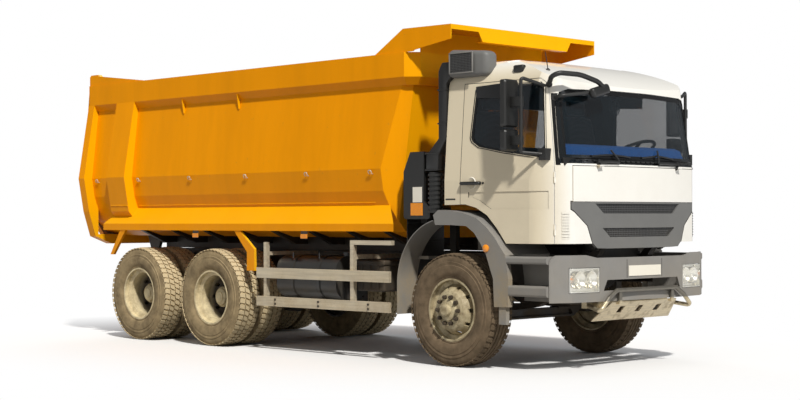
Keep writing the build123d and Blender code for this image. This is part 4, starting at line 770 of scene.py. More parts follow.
# ---------------------------------------------------------------- cab trim
class TRUCK_OT_windscreen_trim(bpy.types.Operator):
    """Build the windscreen's black border, pillar covers, cowl strip and wipers"""

    bl_idname = "truck.windscreen_trim"
    bl_label = "Windscreen trim"

    border_outer = ((1.008, 1.893), (0.980, 2.447), (0.940, 2.528), (0.852, 2.557), (0.30, 2.568))
    border_inner = ((0.948, 1.966), (0.926, 2.440), (0.893, 2.492), (0.822, 2.516), (0.30, 2.527))
    cowl_heights, cowl_half = (1.869, 1.938), 0.985
    cowl_bars, cowl_first_bar, cowl_pitch = 24, -0.86, 0.075
    pillar_low, pillar_high = 1.872, 2.520
    pillar_steps, pillar_columns = 10, 5
    wiper_foot, blade_heights = 1.900, (1.955, 1.966)
    wiper_places = ((-0.60, -0.33, -0.407, 2.018), (0.606, 0.267, 0.30, 2.028))

    def execute(self, context):
        mesh = bmesh.new()
        loops = [[front_point(-y, z) for y, z in half] + [front_point(y, z) for y, z in half[::-1]]
                 for half in (self.border_outer, self.border_inner)]
        add_laid_band(mesh, cab_front, *loops, backward, 0.0015, steps=8, closed=True)
        for sign in sides.values():
            self.pillar(mesh, sign)
        new_object("windscreen_border", mesh, "gloss_black")
        mesh = bmesh.new()
        lay_on_front(mesh, cab_front, (-self.cowl_half, self.cowl_half), self.cowl_heights, 0.014,
                     steps=28)
        for number in range(self.cowl_bars):
            spot = touch_front(self.cowl_first_bar + number * self.cowl_pitch, 1.915)
            add_block(mesh, spot + by(0.012, -0.026, -0.006), spot + by(0.017, 0.026, 0.006),
                      bevel=0.002, segments=1)
        new_object("cowl_strip", mesh, smooth=35)
        self.wipers()
        return {"FINISHED"}

    def pillar(self, mesh, sign):
        """Black cover from the windscreen round to the door's front edge."""
        inward = Vector((-0.72, -sign * 0.69, 0)).normalized()
        count, last = self.pillar_steps, self.pillar_columns
        rows = []
        for step in range(count + 1):
            z = self.pillar_low + step * (self.pillar_high - self.pillar_low) / count
            lean = (z - 1.880) * 0.127
            inner_y = 1.005 - max(0.0, z - 1.886) * 0.050 - max(0.0, z - 2.45) * 0.55
            glass_edge = touch_front(sign * inner_y, z)
            door_edge = touch(("cab_front_panel",), side_point(1.163 - lean, z, sign),
                              (0, -sign, 0))
            starts = [glass_edge.lerp(door_edge, share / last) - inward * 0.4
                      for share in range(last + 1)]
            rows.append([touch(cab_front, start, inward) - inward * 0.003 for start in starts])
        top = [[mesh.verts.new(spot) for spot in row] for row in rows]
        low = [[mesh.verts.new(spot + inward * 0.008) for spot in row] for row in rows]
        for i in range(count):
            for j in range(last):
                mesh.faces.new((top[i][j], top[i][j + 1], top[i + 1][j + 1], top[i + 1][j]))
                mesh.faces.new((low[i][j], low[i + 1][j], low[i + 1][j + 1], low[i][j + 1]))
            for j in (0, last):
                mesh.faces.new((top[i][j], top[i + 1][j], low[i + 1][j], low[i][j]))
        for i in (0, count):
            for j in range(last):
                mesh.faces.new((top[i][j], low[i][j], low[i][j + 1], top[i][j + 1]))

    def wipers(self):
        """Two pivots, each with its arm and a blade lying low on the glass."""
        mesh = bmesh.new()
        end_height, middle_height = self.blade_heights
        for pivot_y, rest_y, tip_y, tip_z in self.wiper_places:
            pivot = touch_front(pivot_y, self.wiper_foot)
            add_bar(mesh, pivot, pivot + by(0.030, 0, 0.004), 0.026, 18)
            add_bar(mesh, pivot + by(0.028), pivot + by(0.042), 0.018, 18, radius_end=0.011)
            rest = touch_front(rest_y, 1.906) + by(0.026)
            knee = pivot.lerp(rest, 0.5) + by(0.016, 0, 0.006)
            add_tube(mesh, [pivot + by(0.024), knee, rest], 0.014, 10)
            top = touch_front(tip_y, tip_z) + by(0.014)
            add_tube(mesh, [rest, rest.lerp(top, 0.3) + by(0.010), top], 0.009, 8)
            for way in (-0.8, 0.8):
                end = touch_front(tip_y + way * 0.33, end_height) + by(0.008)
                middle = touch_front(tip_y + way * 0.16, middle_height) + by(0.012)
                add_tube(mesh, [top + by(z=-0.046), middle, end], 0.0085, 8)
        new_object("wipers", mesh)


class TRUCK_OT_cab_fittings(bpy.types.Operator):
    """Build the cab's outer fittings: kerb mirror, intake, lamp, aerial, corner vents and slits"""

    bl_idname = "truck.cab_fittings"
    bl_label = "Cab fittings"

    duct = ((-0.400, 1.850), (-0.400, 2.000), (-0.232, 2.160), (-0.232, 2.800), (-0.185, 2.880),
            (-0.070, 2.880), (-0.070, 2.740), (-0.130, 2.680), (-0.130, 2.150), (-0.240, 2.000),
            (-0.240, 1.850))
    head_low, head_high = (-0.090, -1.125, 2.722), (0.385, -0.925, 2.990)
    mesh_low, mesh_high, bezel = (-0.045, 2.768), (0.235, 2.944), 0.012
    slat_rows, slat_pitch, bar_columns, bar_pitch = 11, 0.0152, 15, 0.0185
    roof_lamp, aerial_foot = (0.72, 2.760), (0.93, -0.86)
    corner_panel, corner_slats = (1.205, 1.455), 9
    kerb_arch = ((1.160, -1.085, 2.662), (1.215, -1.045, 2.692), (1.300, -0.850, 2.682),
                 (1.335, -0.640, 2.628), (1.340, -0.575, 2.585))
    kerb_brace = ((1.200, -1.000, 2.492), (1.290, -0.760, 2.520), (1.330, -0.640, 2.550))

    def execute(self, context):
        self.kerb_mirror()
        self.intake()
        self.intake_grille()
        self.roof_fittings()
        self.corner_vents()
        self.slits()
        return {"FINISHED"}

    def kerb_mirror(self):
        """Moulded arch from the right pillar over the windscreen's corner, and its small mirror."""
        mesh = bmesh.new()
        line = Vector((-0.72, 0.69, 0)).normalized()
        for names, start, route, radius, sides_round, bend, arc in (
            (("cab_front_panel", "cab_roof"), at(1.09, -1.03, 2.600), self.kerb_arch, 0.023, 12,
             0.06, 5),
            (cab_front, at(1.13, -1.00, 2.480), self.kerb_brace, 0.017, 10, 0.05, 4),
        ):
            root = touch(names, start - line * 0.5, line)
            add_tube(mesh, [root, *[at(*point) for point in route]], radius, sides_round, bend, arc)
            add_bar(mesh, root + line * 0.006, root - line * 0.012, 0.030, 20)
        turn = Matrix.Rotation(radians(-10), 3, "Y") @ Matrix.Rotation(radians(14), 3, "X")
        add_block(mesh, at(1.295, -0.745, 2.500), at(1.361, -0.475, 2.592), 0.028, turn, 4)
        new_object("kerb_mirror", mesh)
        mesh = bmesh.new()
        add_block(mesh, at(1.2905, -0.715, 2.516), at(1.2975, -0.505, 2.576), 0.001, turn, 1)
        new_object("kerb_mirror_glass", mesh, "mirror", smooth=None)

    def intake(self):
        """Duct up behind the cab and the rounded head that draws air above the roof's corner."""
        mesh = bmesh.new()
        add_prism(mesh, [at(x, -1.098, z) for x, z in self.duct], (0, 0.112, 0))
        bevel_edges(mesh, list(mesh.edges), 0.012, 2)
        for z, x0, x1 in ((1.862, -0.408, -0.232), (2.02, -0.408, -0.232),
                          (2.30, -0.238, -0.126), (2.62, -0.238, -0.126)):
            add_block(mesh, at(x0, -1.104, z - 0.008), at(x1, -0.980, z + 0.008), bevel=0.004)
        duct = new_object("intake_duct", mesh)
        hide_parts("snorkel")
        mesh = bmesh.new()
        low, high = at(*self.head_low), at(*self.head_high)
        add_block(mesh, low, high, bevel=0.052, segments=5)
        for vert in mesh.verts:
            share = (vert.co.x - low.x) / (high.x - low.x)
            vert.co.z -= max(0.0, share - 0.55) * 0.09 * (vert.co.z - low.z) / (high.z - low.z)
            vert.co.y += max(0.0, share - 0.60) * 0.10 * (high.y - vert.co.y) / (high.y - low.y)
        new_object("intake_head", mesh, "dark_grey", smooth=50)

    def intake_grille(self):
        """Bezel, mesh and slats on the outer face of the air intake's head."""
        mesh, rim, bars = bmesh.new(), bmesh.new(), bmesh.new()
        face, wide = self.head_low[1], self.bezel
        (x0, z0), (x1, z1) = self.mesh_low, self.mesh_high
        add_block(mesh, at(x0, face - 0.0015, z0), at(x1, face + 0.004, z1), 0.001, segments=1)
        for xa, za, xb, zb in ((x0 - wide, z0 - wide, x1 + wide, z0),
                               (x0 - wide, z1, x1 + wide, z1 + wide),
                               (x0 - wide, z0, x0, z1), (x1, z0, x1 + wide, z1)):
            add_block(rim, at(xa, face - 0.010, za), at(xb, face + 0.004, zb), bevel=0.003)
        for row in range(self.slat_rows):
            z = z0 + 0.006 + row * self.slat_pitch
            add_block(bars, at(x0, face - 0.006, z), at(x1, face, z + 0.005), 0.001, segments=1)
        for column in range(self.bar_columns):
            x = x0 + 0.008 + column * self.bar_pitch
            add_block(bars, at(x, face - 0.005, z0), at(x + 0.004, face, z1), 0.001, segments=1)
        new_object("intake_mesh", mesh, smooth=None)
        new_object("intake_bars", bars, "mesh_grey", smooth=None)
        new_object("intake_bezel", rim, "moulding", smooth=35)

    def roof_fittings(self):
        """Marker lamp on the roof's right shoulder and the aerial ahead of it."""
        mesh = bmesh.new()
        spot = touch(("cab_roof",), side_point(*self.roof_lamp, -1), (0, 1, 0))
        add_block(mesh, spot + by(-0.060, -0.028, -0.034), spot + by(0.060, 0.030, 0.040),
                  bevel=0.018, segments=3)
        add_block(mesh, spot + by(-0.048, -0.033, -0.024), spot + by(0.048, -0.024, 0.030),
                  bevel=0.004)
        aerial = touch(("cab_roof",), at(*self.aerial_foot, 3.2), (0, 0, -1))
        add_turned(mesh, [(-0.004, 0.0), (-0.004, 0.022), (0.006, 0.020), (0.014, 0.010),
                          (0.018, 0.0)], aerial, (0, 0, 1), 20)
        add_bar(mesh, aerial + by(z=0.012), aerial + by(-0.03, 0, 0.17), 0.005, 8,
                radius_end=0.003)
        new_object("roof_lamp_and_aerial", mesh)

    def corner_vents(self):
        """Slatted panel low in each front corner; the left one is black as painted shade, the right one in the
        cab's enamel.
        """
        bands = [(*self.corner_panel, 0.002), *[(1.225 + row * 0.026, 1.237 + row * 0.026, 0.008)
                                                for row in range(self.corner_slats)]]
        for side, sign in sides.items():
            mesh = bmesh.new()
            line = Vector((-0.86, -sign * 0.5, 0))
            back = line * -0.6
            ends = [touch(("cab_front_panel",), at(1.25, sign * y, 1.33) + back, line)
                    for y in (0.95, 1.03)]
            for low, high, lift in bands:
                rows = [[Vector((place.x, place.y, z)) + back for place in ends]
                        for z in (low, high)]
                add_laid_band(mesh, ("cab_front_panel",), *rows, line, lift, steps=4)
            # Painted shade: the left vent is black, the right one keeps the cab's enamel.
            new_object(f"corner_vent_{side}", mesh, "cab" if side == "right" else "black")

    def slits(self):
        """Vent slit behind each door."""
        mesh = bmesh.new()
        for sign in sides.values():
            lines = [[(x, z) for x in (-0.105, 0.020)] for z in (1.583, 1.570)]
            lay_on_side(mesh, ("cab_rear_panel",), lines, sign, 0.002)
        new_object("vent_slits", mesh, smooth=None)


class TRUCK_OT_door_fittings(bpy.types.Operator):
    """Build what each door carries: handle, window seal, wind deflector and mirror glass"""

    bl_idname = "truck.door_fittings"
    bl_label = "Door fittings"

    window = ((0.195, 2.150), (0.235, 2.580), (0.262, 2.618), (1.000, 2.618), (1.035, 2.580),
              (1.085, 1.934), (0.609, 2.003), (0.300, 2.059), (0.215, 2.110))
    window_centre = Vector((0.64, 2.30))
    deflector_lines = (((0.240, 2.624), (0.56, 2.638)), ((0.232, 2.519), (0.559, 2.500)))
    handle_place, handle_reach = (0.225, 1.722), 0.112
    dish = ((-0.003, 0.0), (0.0015, 0.0), (0.0015, 0.046), (0.0045, 0.050), (0.0045, 0.054),
            (-0.002, 0.058))
    panes = ((2.215, 2.645), (2.000, 2.195))
    pane_sides, frame_sides = (1.180, 1.340), (1.172, 1.348)

    def execute(self, context):
        for side, sign in sides.items():
            door, panels = f"door_{side}", (f"door_{side}", f"door_glass_{side}")
            self.seal(side, sign, door, panels)
            self.handle(side, sign, door)
            mesh = bmesh.new()
            lay_on_side(mesh, panels, self.deflector_lines, sign, 0.014, steps=8, sink=-0.010)
            new_object(f"wind_deflector_{side}", mesh, "gloss_black", door)
            self.mirror_glass(side, sign, door)
        return {"FINISHED"}

    def seal(self, side, sign, door, panels):
        """Rubber seal round the window, half on the panel and half on the glass."""
        loops = []
        for grow in (0.014, -0.020):
            outs = [(Vector(point) - self.window_centre).normalized() * grow
                    for point in self.window]
            loops.append([side_point(x + out.x, z + out.y, sign)
                          for (x, z), out in zip(self.window, outs)])
        mesh = bmesh.new()
        add_laid_band(mesh, panels, *loops, (0, -sign, 0), 0.004, closed=True)
        new_object(f"window_seal_{side}", mesh, "gloss_black", door)

    def handle(self, side, sign, door):
        """Pull handle over a shallow painted dish, and the lock beside it."""
        mesh = bmesh.new()
        place = touch((door,), side_point(*self.handle_place, sign), (0, -sign, 0))
        out, reach = by(0, sign, 0), by(self.handle_reach)
        add_turned(mesh, self.dish, place, out, 40)
        new_object(f"door_handle_dish_{side}", mesh, "cab", door)
        mesh = bmesh.new()
        left, right = place - reach, place + reach
        add_tube(mesh, [left, left + out * 0.026, right + out * 0.026, right], 0.0165, 12, 0.022)
        add_bar(mesh, right + by(0.036), right + by(0.036, sign * 0.006), 0.011, 18)
        new_object(f"door_handle_{side}", mesh, body=door)

    def mirror_glass(self, side, sign, door):
        """Silvered panes set in the rear of both housings, and the frames round them."""
        glass, shell = bmesh.new(), bmesh.new()
        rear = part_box(f"mirrors_{side}")[0].x
        for z_low, z_high in self.panes:
            y0, y1 = sorted(sign * y for y in self.pane_sides)
            add_block(glass, (rear - 0.0015, y0, z_low + 0.018), (rear + 0.002, y1, z_high - 0.018),
                      0.001, segments=1)
            y0, y1 = sorted(sign * y for y in self.frame_sides)
            for y in (y0, y1):
                add_block(shell, (rear - 0.004, y - 0.004, z_low + 0.010),
                          (rear + 0.004, y + 0.004, z_high - 0.010), bevel=0.002)
            for z in (z_low + 0.012, z_high - 0.012):
                add_block(shell, (rear - 0.004, y0, z - 0.004), (rear + 0.004, y1, z + 0.004),
                          bevel=0.002)
        new_object(f"mirror_panes_{side}", glass, "mirror", door, None)
        new_object(f"mirror_frames_{side}", shell, body=door, smooth=None)


class TRUCK_OT_cab_inside(bpy.types.Operator):
    """Build the seats, the dash hood with its cloth and the fan that show through the glass"""

    bl_idname = "truck.cab_inside"
    bl_label = "Cab inside"

    seat_y = 0.64
    seat_pads = (("cushion", (0.075, 0.240, 1.765), (0.548, 0.240, 1.858), 0.0, 0.85),
                 ("back", (0.050, 0.232, 1.860), (0.150, 0.232, 2.415), 0.105, 0.85),
                 ("headrest", (0.010, 0.122, 2.442), (0.080, 0.122, 2.582), 0.10, 0.9))
    seat_cover = ((0.06, 1.775), (0.50, 1.765), (0.50, 1.800), (0.20, 1.850), (0.06, 1.90))
    hood = ((1.150, 1.868), (1.138, 1.975), (1.104, 2.040), (1.045, 2.066), (0.975, 2.068),
            (0.935, 2.030), (0.925, 1.850))
    hood_half = 0.955
    cloth_line = ((1.146, 1.945), (1.1435, 1.978), (1.110, 2.046), (1.048, 2.072), (0.974, 2.074),
                  (0.930, 2.036), (0.918, 1.950))
    cloth_width, cloth_columns = 1.86, 140
    fan_hub, fan_wires, fan_blades = (1.07, -0.055, 2.430), 16, 4
    wire, wire_sides = 0.0028, 6
    guard_rings = ((0.078, 0.0), (0.060, 0.016), (0.035, 0.024))
    blade = ((0.012, 0.0), (0.058, 0.016), (0.068, -0.004), (0.040, -0.022))

    def execute(self, context):
        self.seats()
        self.dash()
        self.fan()
        return {"FINISHED"}

    def pad(self, mesh, low, high, lean, crown=0.018, cuts=9):
        """A crowned, pillow-edged form between two corners, leaning back along X by lean."""
        middle, half = (low + high) / 2, (high - low) / 2
        made = bmesh.ops.create_cube(mesh, size=2.0)["verts"]
        edges = list({edge for vert in made for edge in vert.link_edges})
        bmesh.ops.subdivide_edges(mesh, edges=edges, cuts=cuts, use_grid_fill=True)
        for vert in mesh.verts:
            u, v, w = vert.co
            bulge = ((1 - u * u) * (1 - v * v) + (1 - v * v) * (1 - w * w)
                     + (1 - u * u) * (1 - w * w))
            swell = 1.0 - 0.13 * max(0.0, abs(u) + abs(v) + abs(w) - 2.0)
            pull = 1 - 0.045 * (abs(v) ** 4) * (1 - w * w)
            puff = crown * bulge * 0.35
            vert.co = by(middle.x + half.x * u * swell * pull + puff * u,
                         middle.y + half.y * v * swell, middle.z + half.z * w * swell + puff * w)
            vert.co.x -= lean * (vert.co.z - low.z)

    def seats(self):
        """Two seats, each a cushion, a back and a headrest on a plain frame."""
        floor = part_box("seats")[0].z
        frame_mesh = bmesh.new()
        for side, sign in sides.items():
            y = sign * self.seat_y
            for name, (x0, half, z0), (x1, _, z1), lean, fill in self.seat_pads:
                mesh = bmesh.new()
                self.pad(mesh, at(x0, y - half, z0), at(x1, y + half, z1), lean)
                piece = new_object(f"seat_{name}_{side}", mesh, "seat",
                                   smooth=50)
                if name == "cushion" and sign < 0:
                    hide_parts("seats")
            add_block(frame_mesh, at(0.16, y - 0.17, floor + 0.02), at(0.46, y + 0.17, 1.768),
                      bevel=0.015)
            for x in (0.035, 0.055):
                for post in (y - 0.06, y + 0.06):
                    add_bar(frame_mesh, at(x - 0.01, post, 2.400), at(x - 0.02, post, 2.450), 0.006,
                            10)
            add_prism(frame_mesh, [at(x, y + sign * 0.235, z) for x, z in self.seat_cover],
                      (0, sign * 0.014, 0))
        new_object("seat_frames", frame_mesh)

    def dash(self):
        """Moulded hood under the windscreen and the fringed blue cloth laid over it."""
        half, width, columns = self.hood_half, self.cloth_width, self.cloth_columns
        mesh = bmesh.new()
        add_prism(mesh, [at(x, -half, z) for x, z in self.hood], (0, 2 * half, 0))
        edges = [edge for edge in mesh.edges if abs(edge.verts[0].co.y - edge.verts[1].co.y) > half]
        bevel_edges(mesh, edges, 0.012, 3)
        new_object("dash_hood", mesh)
        mesh = bmesh.new()
        points = split_loop([at(x, 0, z) for x, z in self.cloth_line], 4, False)
        grid = []
        for number, point in enumerate(points):
            hang = max(0.0, 1.0 - number / 7.0)
            row = []
            for column in range(columns + 1):
                y = -width / 2 + width * column / columns
                wave = 0.0016 * sin(y * 95) + 0.0012 * sin(y * 41 + 1.3)
                row.append(mesh.verts.new(point + by(0.002 + wave * (0.4 + hang), y,
                                                     0.002 + wave * 0.5)))
            grid.append(row)
        for one, two in zip(grid, grid[1:]):
            for column in range(columns):
                mesh.faces.new((one[column], one[column + 1], two[column + 1], two[column]))
        cloth = new_object("dash_cloth", mesh, "mat", smooth=60)
        fringe = bmesh.new()
        front_x, front_z = self.cloth_line[0]
        for column in range(0, columns, 2):
            y = -width / 2 + width * (column + 0.5) / columns
            top = at(front_x + 0.003, y, front_z + 0.004)
            add_bar(fringe, top, top + by(0.001, 0, -0.030), 0.0034, 6, radius_end=0.0046)
        fringe = new_object("dash_fringe", fringe, "mat", smooth=60)

    def fan(self):
        """Small fan in its wire guard, hung from the cab's ceiling on a bent stalk."""
        mesh = bmesh.new()
        hub = at(*self.fan_hub)
        ceiling = touch(("cab_roof", "cab_front_panel"), hub + by(-0.04, 0, 0.07), (0, 0, 1))
        add_tube(mesh, [ceiling, ceiling + by(z=-0.05), hub + by(-0.05, 0, 0.10), hub + by(-0.04)],
                 0.008, 8)
        add_turned(mesh, [(-0.045, 0.0), (-0.045, 0.024), (-0.006, 0.030), (0.0, 0.0)], hub,
                   (1, 0, 0), 20)
        turns = [tau * number / self.wire_sides for number in range(self.wire_sides)]
        for radius, shift in self.guard_rings:
            circle = [(self.wire * sin(turn), radius + self.wire * cos(turn)) for turn in turns]
            add_turned(mesh, circle, hub + by(shift), (1, 0, 0), 32, closed=True)
        for number in range(self.fan_wires):
            turn = tau * number / self.fan_wires
            out = by(0, cos(turn), sin(turn))
            add_tube(mesh, [hub + out * self.guard_rings[0][0], hub + out * 0.058 + by(0.017),
                            hub + by(0.027) + out * 0.006], 0.0016, 5, bend=0.01, arc=2)
        root = hub + by(0.006)
        for number in range(self.fan_blades):
            turn = tau * number / self.fan_blades
            across, other = by(0, cos(turn), sin(turn)), by(0.25, -sin(turn), cos(turn))
            add_prism(mesh, [root + across * a + other * b for a, b in self.blade], (0.0015, 0, 0))
        new_object("cab_fan", mesh)


# ---------------------------------------------------------------- front trim
class TRUCK_OT_front_trim(bpy.types.Operator):
    """Build the grille's mesh, the headlamps, the blank plate and the bumper's seams"""

    bl_idname = "truck.front_trim"
    bl_label = "Front trim"

    slots = (((0.640, 1.523), (0.532, 1.440), 5), ((0.546, 1.301), (0.448, 1.224), 4))
    rib_numbers, rib_step, rib_half, rib_shortest = range(-27, 28), 0.0235, 0.0022, 0.012
    lamp_low, lamp_high = 0.727, 0.945
    lamp_inner, lamp_outer = 0.646, 1.004
    plate_half, plate_heights = 0.245, (0.862, 0.958)
    seam_place, seam_half, seam_heights = 0.268, 0.003, (0.846, 1.016)
    bowl_places, indicator_place = ((0.722, 0.840), (0.872, 0.840)), (0.968, 0.850)
    bowl = ((-0.058, 0.0), (-0.057, 0.022), (-0.048, 0.045), (-0.030, 0.064), (-0.016, 0.073),
            (-0.014, 0.078), (-0.020, 0.080), (-0.059, 0.080))
    bulb_cap = ((-0.056, 0.0), (-0.056, 0.014), (-0.030, 0.013), (-0.024, 0.0))
    small_bowl = ((-0.050, 0.0), (-0.049, 0.014), (-0.036, 0.026), (-0.020, 0.030),
                  (-0.022, 0.033), (-0.052, 0.033))
    small_bulb = ((-0.049, 0.0), (-0.049, 0.012), (-0.026, 0.011), (-0.020, 0.0))

    def execute(self, context):
        self.mesh_panels()
        self.headlamps()
        self.plate()
        return {"FINISHED"}

    def mesh_panels(self):
        """Dark pressed mesh in both grille openings, with its cross bars and ribs."""
        dark, bars = bmesh.new(), bmesh.new()
        for (wide, top), (narrow, low), count in self.slots:
            rows = [(bars, low + (top - low) * (row + 0.36) / count,
                     low + (top - low) * (row + 0.64) / count, 0.0065) for row in range(count)]
            for mesh, z0, z1, lift in [(dark, low, top, 0.002), *rows]:
                halves = [narrow + (wide - narrow) * (z - low) / (top - low) for z in (z0, z1)]
                ends = [[front_point(-half, z), front_point(half, z)]
                        for half, z in zip(halves, (z0, z1))]
                add_laid_band(mesh, ("grille",), *ends, backward, lift, steps=16)
            for number in self.rib_numbers:
                y = number * self.rib_step
                foot = low + max(0.0, abs(y) - narrow) / (wide - narrow) * (top - low)
                if top - foot >= self.rib_shortest:
                    lay_on_front(bars, ("grille",), (y - self.rib_half, y + self.rib_half),
                                 (foot, top), 0.005, steps=1)
        new_object("grille_mesh_panels", dark, body="front_flap", smooth=30)
        new_object("grille_mesh_ribs", bars, "mesh_grey", "front_flap", smooth=30)

    def headlamps(self):
        """Each lamp: silvered housing, two bowls with bulb caps, an amber indicator and a lens."""
        lens, housing, amber = bmesh.new(), bmesh.new(), bmesh.new()
        low, high, lamps = self.lamp_low, self.lamp_high, ("headlamps",)
        for sign in sides.values():
            span = (sign * (self.lamp_inner + 0.004), sign * (self.lamp_outer - 0.004))
            lay_on_front(lens, lamps, span, (low, high), 0.001, steps=10)
            lay_on_front(housing, lamps, span, (low, high), -0.060, steps=10, sink=0.075)
            for y, z in self.bowl_places:
                face = touch(lamps, front_point(sign * y, z), backward)
                add_turned(housing, self.bowl, face, (1, 0, 0), 40)
                add_turned(housing, self.bulb_cap, face, (1, 0, 0), 24)
            y, z = self.indicator_place
            face = touch(lamps, front_point(sign * y, z), backward)
            add_turned(housing, self.small_bowl, face, (1, 0, 0), 28)
            add_turned(amber, self.small_bulb, face, (1, 0, 0), 20)
            for y in (0.6478, 1.0005):
                lay_on_front(housing, lamps, (sign * (y - 0.004), sign * (y + 0.004)), (low, high),
                             -0.002, steps=1, sink=0.070)
            for z in (low + 0.003, high - 0.003):
                lay_on_front(housing, lamps, (sign * self.lamp_inner, sign * self.lamp_outer),
                             (z - 0.003, z + 0.003), -0.002, steps=10, sink=0.070)
        new_object("headlamp_housings", housing, "reflector", "chassis")
        new_object("headlamp_indicators", amber, "amber", "chassis")
        cover = new_object("headlamp_lenses", lens, "lens", "chassis")
        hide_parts("headlamps")

    def plate(self):
        """Blank plate on the bumper, with the seams either side of the middle section."""
        mesh = bmesh.new()
        lay_on_front(mesh, ("bumper",), (-self.plate_half, self.plate_half), self.plate_heights,
                     0.006)
        new_object("number_plate_blank", mesh, "plate", "chassis", 30)
        mesh = bmesh.new()
        for y in (-self.seam_place, self.seam_place):
            lay_on_front(mesh, ("bumper",), (y - self.seam_half, y + self.seam_half),
                         self.seam_heights, 0.0012, steps=1)
        new_object("bumper_seams", mesh, body="chassis", smooth=None)


# ---------------------------------------------------------------- bed and chassis trim
class TRUCK_OT_bed_trim(bpy.types.Operator):
    """Build the bed's sheet hooks, rail gussets, side reflectors and weld beads"""

    bl_idname = "truck.bed_trim"
    bl_label = "Bed trim"

    hook_places = (-5.906, -5.059, -4.078, -3.083, -2.086, -1.125)
    gusset_places = (-4.289, -3.294)
    reflector_places = (-2.060, -3.893)
    weld_start, weld_step, weld_height, weld_points = -5.55, 0.049, 1.5565, 91
    weld_break = 0.03
    hook_height, ledge_height, foot_height, rail_height = 1.84, 1.29, 2.60, 2.765

    def execute(self, context):
        hooks, gussets, brackets, reflectors, welds = [bmesh.new() for _ in range(5)]
        tub = ("bed_tub", "bed_ribs")
        for sign in sides.values():
            inward, out, wide = (0, -sign, 0), by(0, sign), by(0.020)
            for x in self.hook_places:
                place = touch(tub, side_point(x, self.hook_height, sign), inward)
                left, right, rise = place - wide, place + wide, out * 0.030 + by(z=0.034)
                add_tube(hooks, [left - out * 0.004, left + out * 0.016, left + rise, right + rise,
                                 right + out * 0.016, right - out * 0.004], 0.0055, 8, bend=0.014)
            for x in self.gusset_places:
                foot = touch(("bed_tub",), side_point(x, self.foot_height, sign), inward)
                top = touch(("bed_rails", "bed_tub"), side_point(x, self.rail_height, sign), inward)
                outline = [foot - out * 0.004, foot + out * 0.014, top + out * 0.004,
                           by(foot.x, foot.y - sign * 0.004, top.z)]
                add_prism(gussets, [spot - by(0.005) for spot in outline], (0.010, 0, 0))
            for x in self.reflector_places:
                ledge = touch(("bed_ledges",), side_point(x, self.ledge_height, sign), inward)
                y = ledge.y - sign * 0.004
                add_block(brackets, at(x - 0.05, y - 0.002, 1.188), at(x + 0.05, y + 0.002, 1.282),
                          bevel=0.001)
                y0, y1 = sorted((y + sign * 0.002, y + sign * 0.010))
                add_block(reflectors, at(x - 0.052, y0, 1.192), at(x + 0.052, y1, 1.238),
                          bevel=0.003)
            points = []
            for step in range(self.weld_points):
                spot = side_point(self.weld_start + step * self.weld_step, self.weld_height, sign)
                points.append(touch(tub, spot, inward) + by(z=0.0015 * sin(step * 2.4)))
            for a, b in zip(points, points[1:]):
                if abs(a.y - b.y) < self.weld_break:
                    add_bar(welds, a, b, 0.0055, 6)
        new_object("sheet_hooks", hooks, "aluminium", "bed", 50)
        new_object("rail_gussets", gussets, "bed", "bed", None)
        new_object("reflector_brackets", brackets, "chassis", "bed", None)
        new_object("side_reflectors", reflectors, "amber", "bed", None)
        new_object("bed_welds", welds, "bed", "bed", 50)
        return {"FINISHED"}


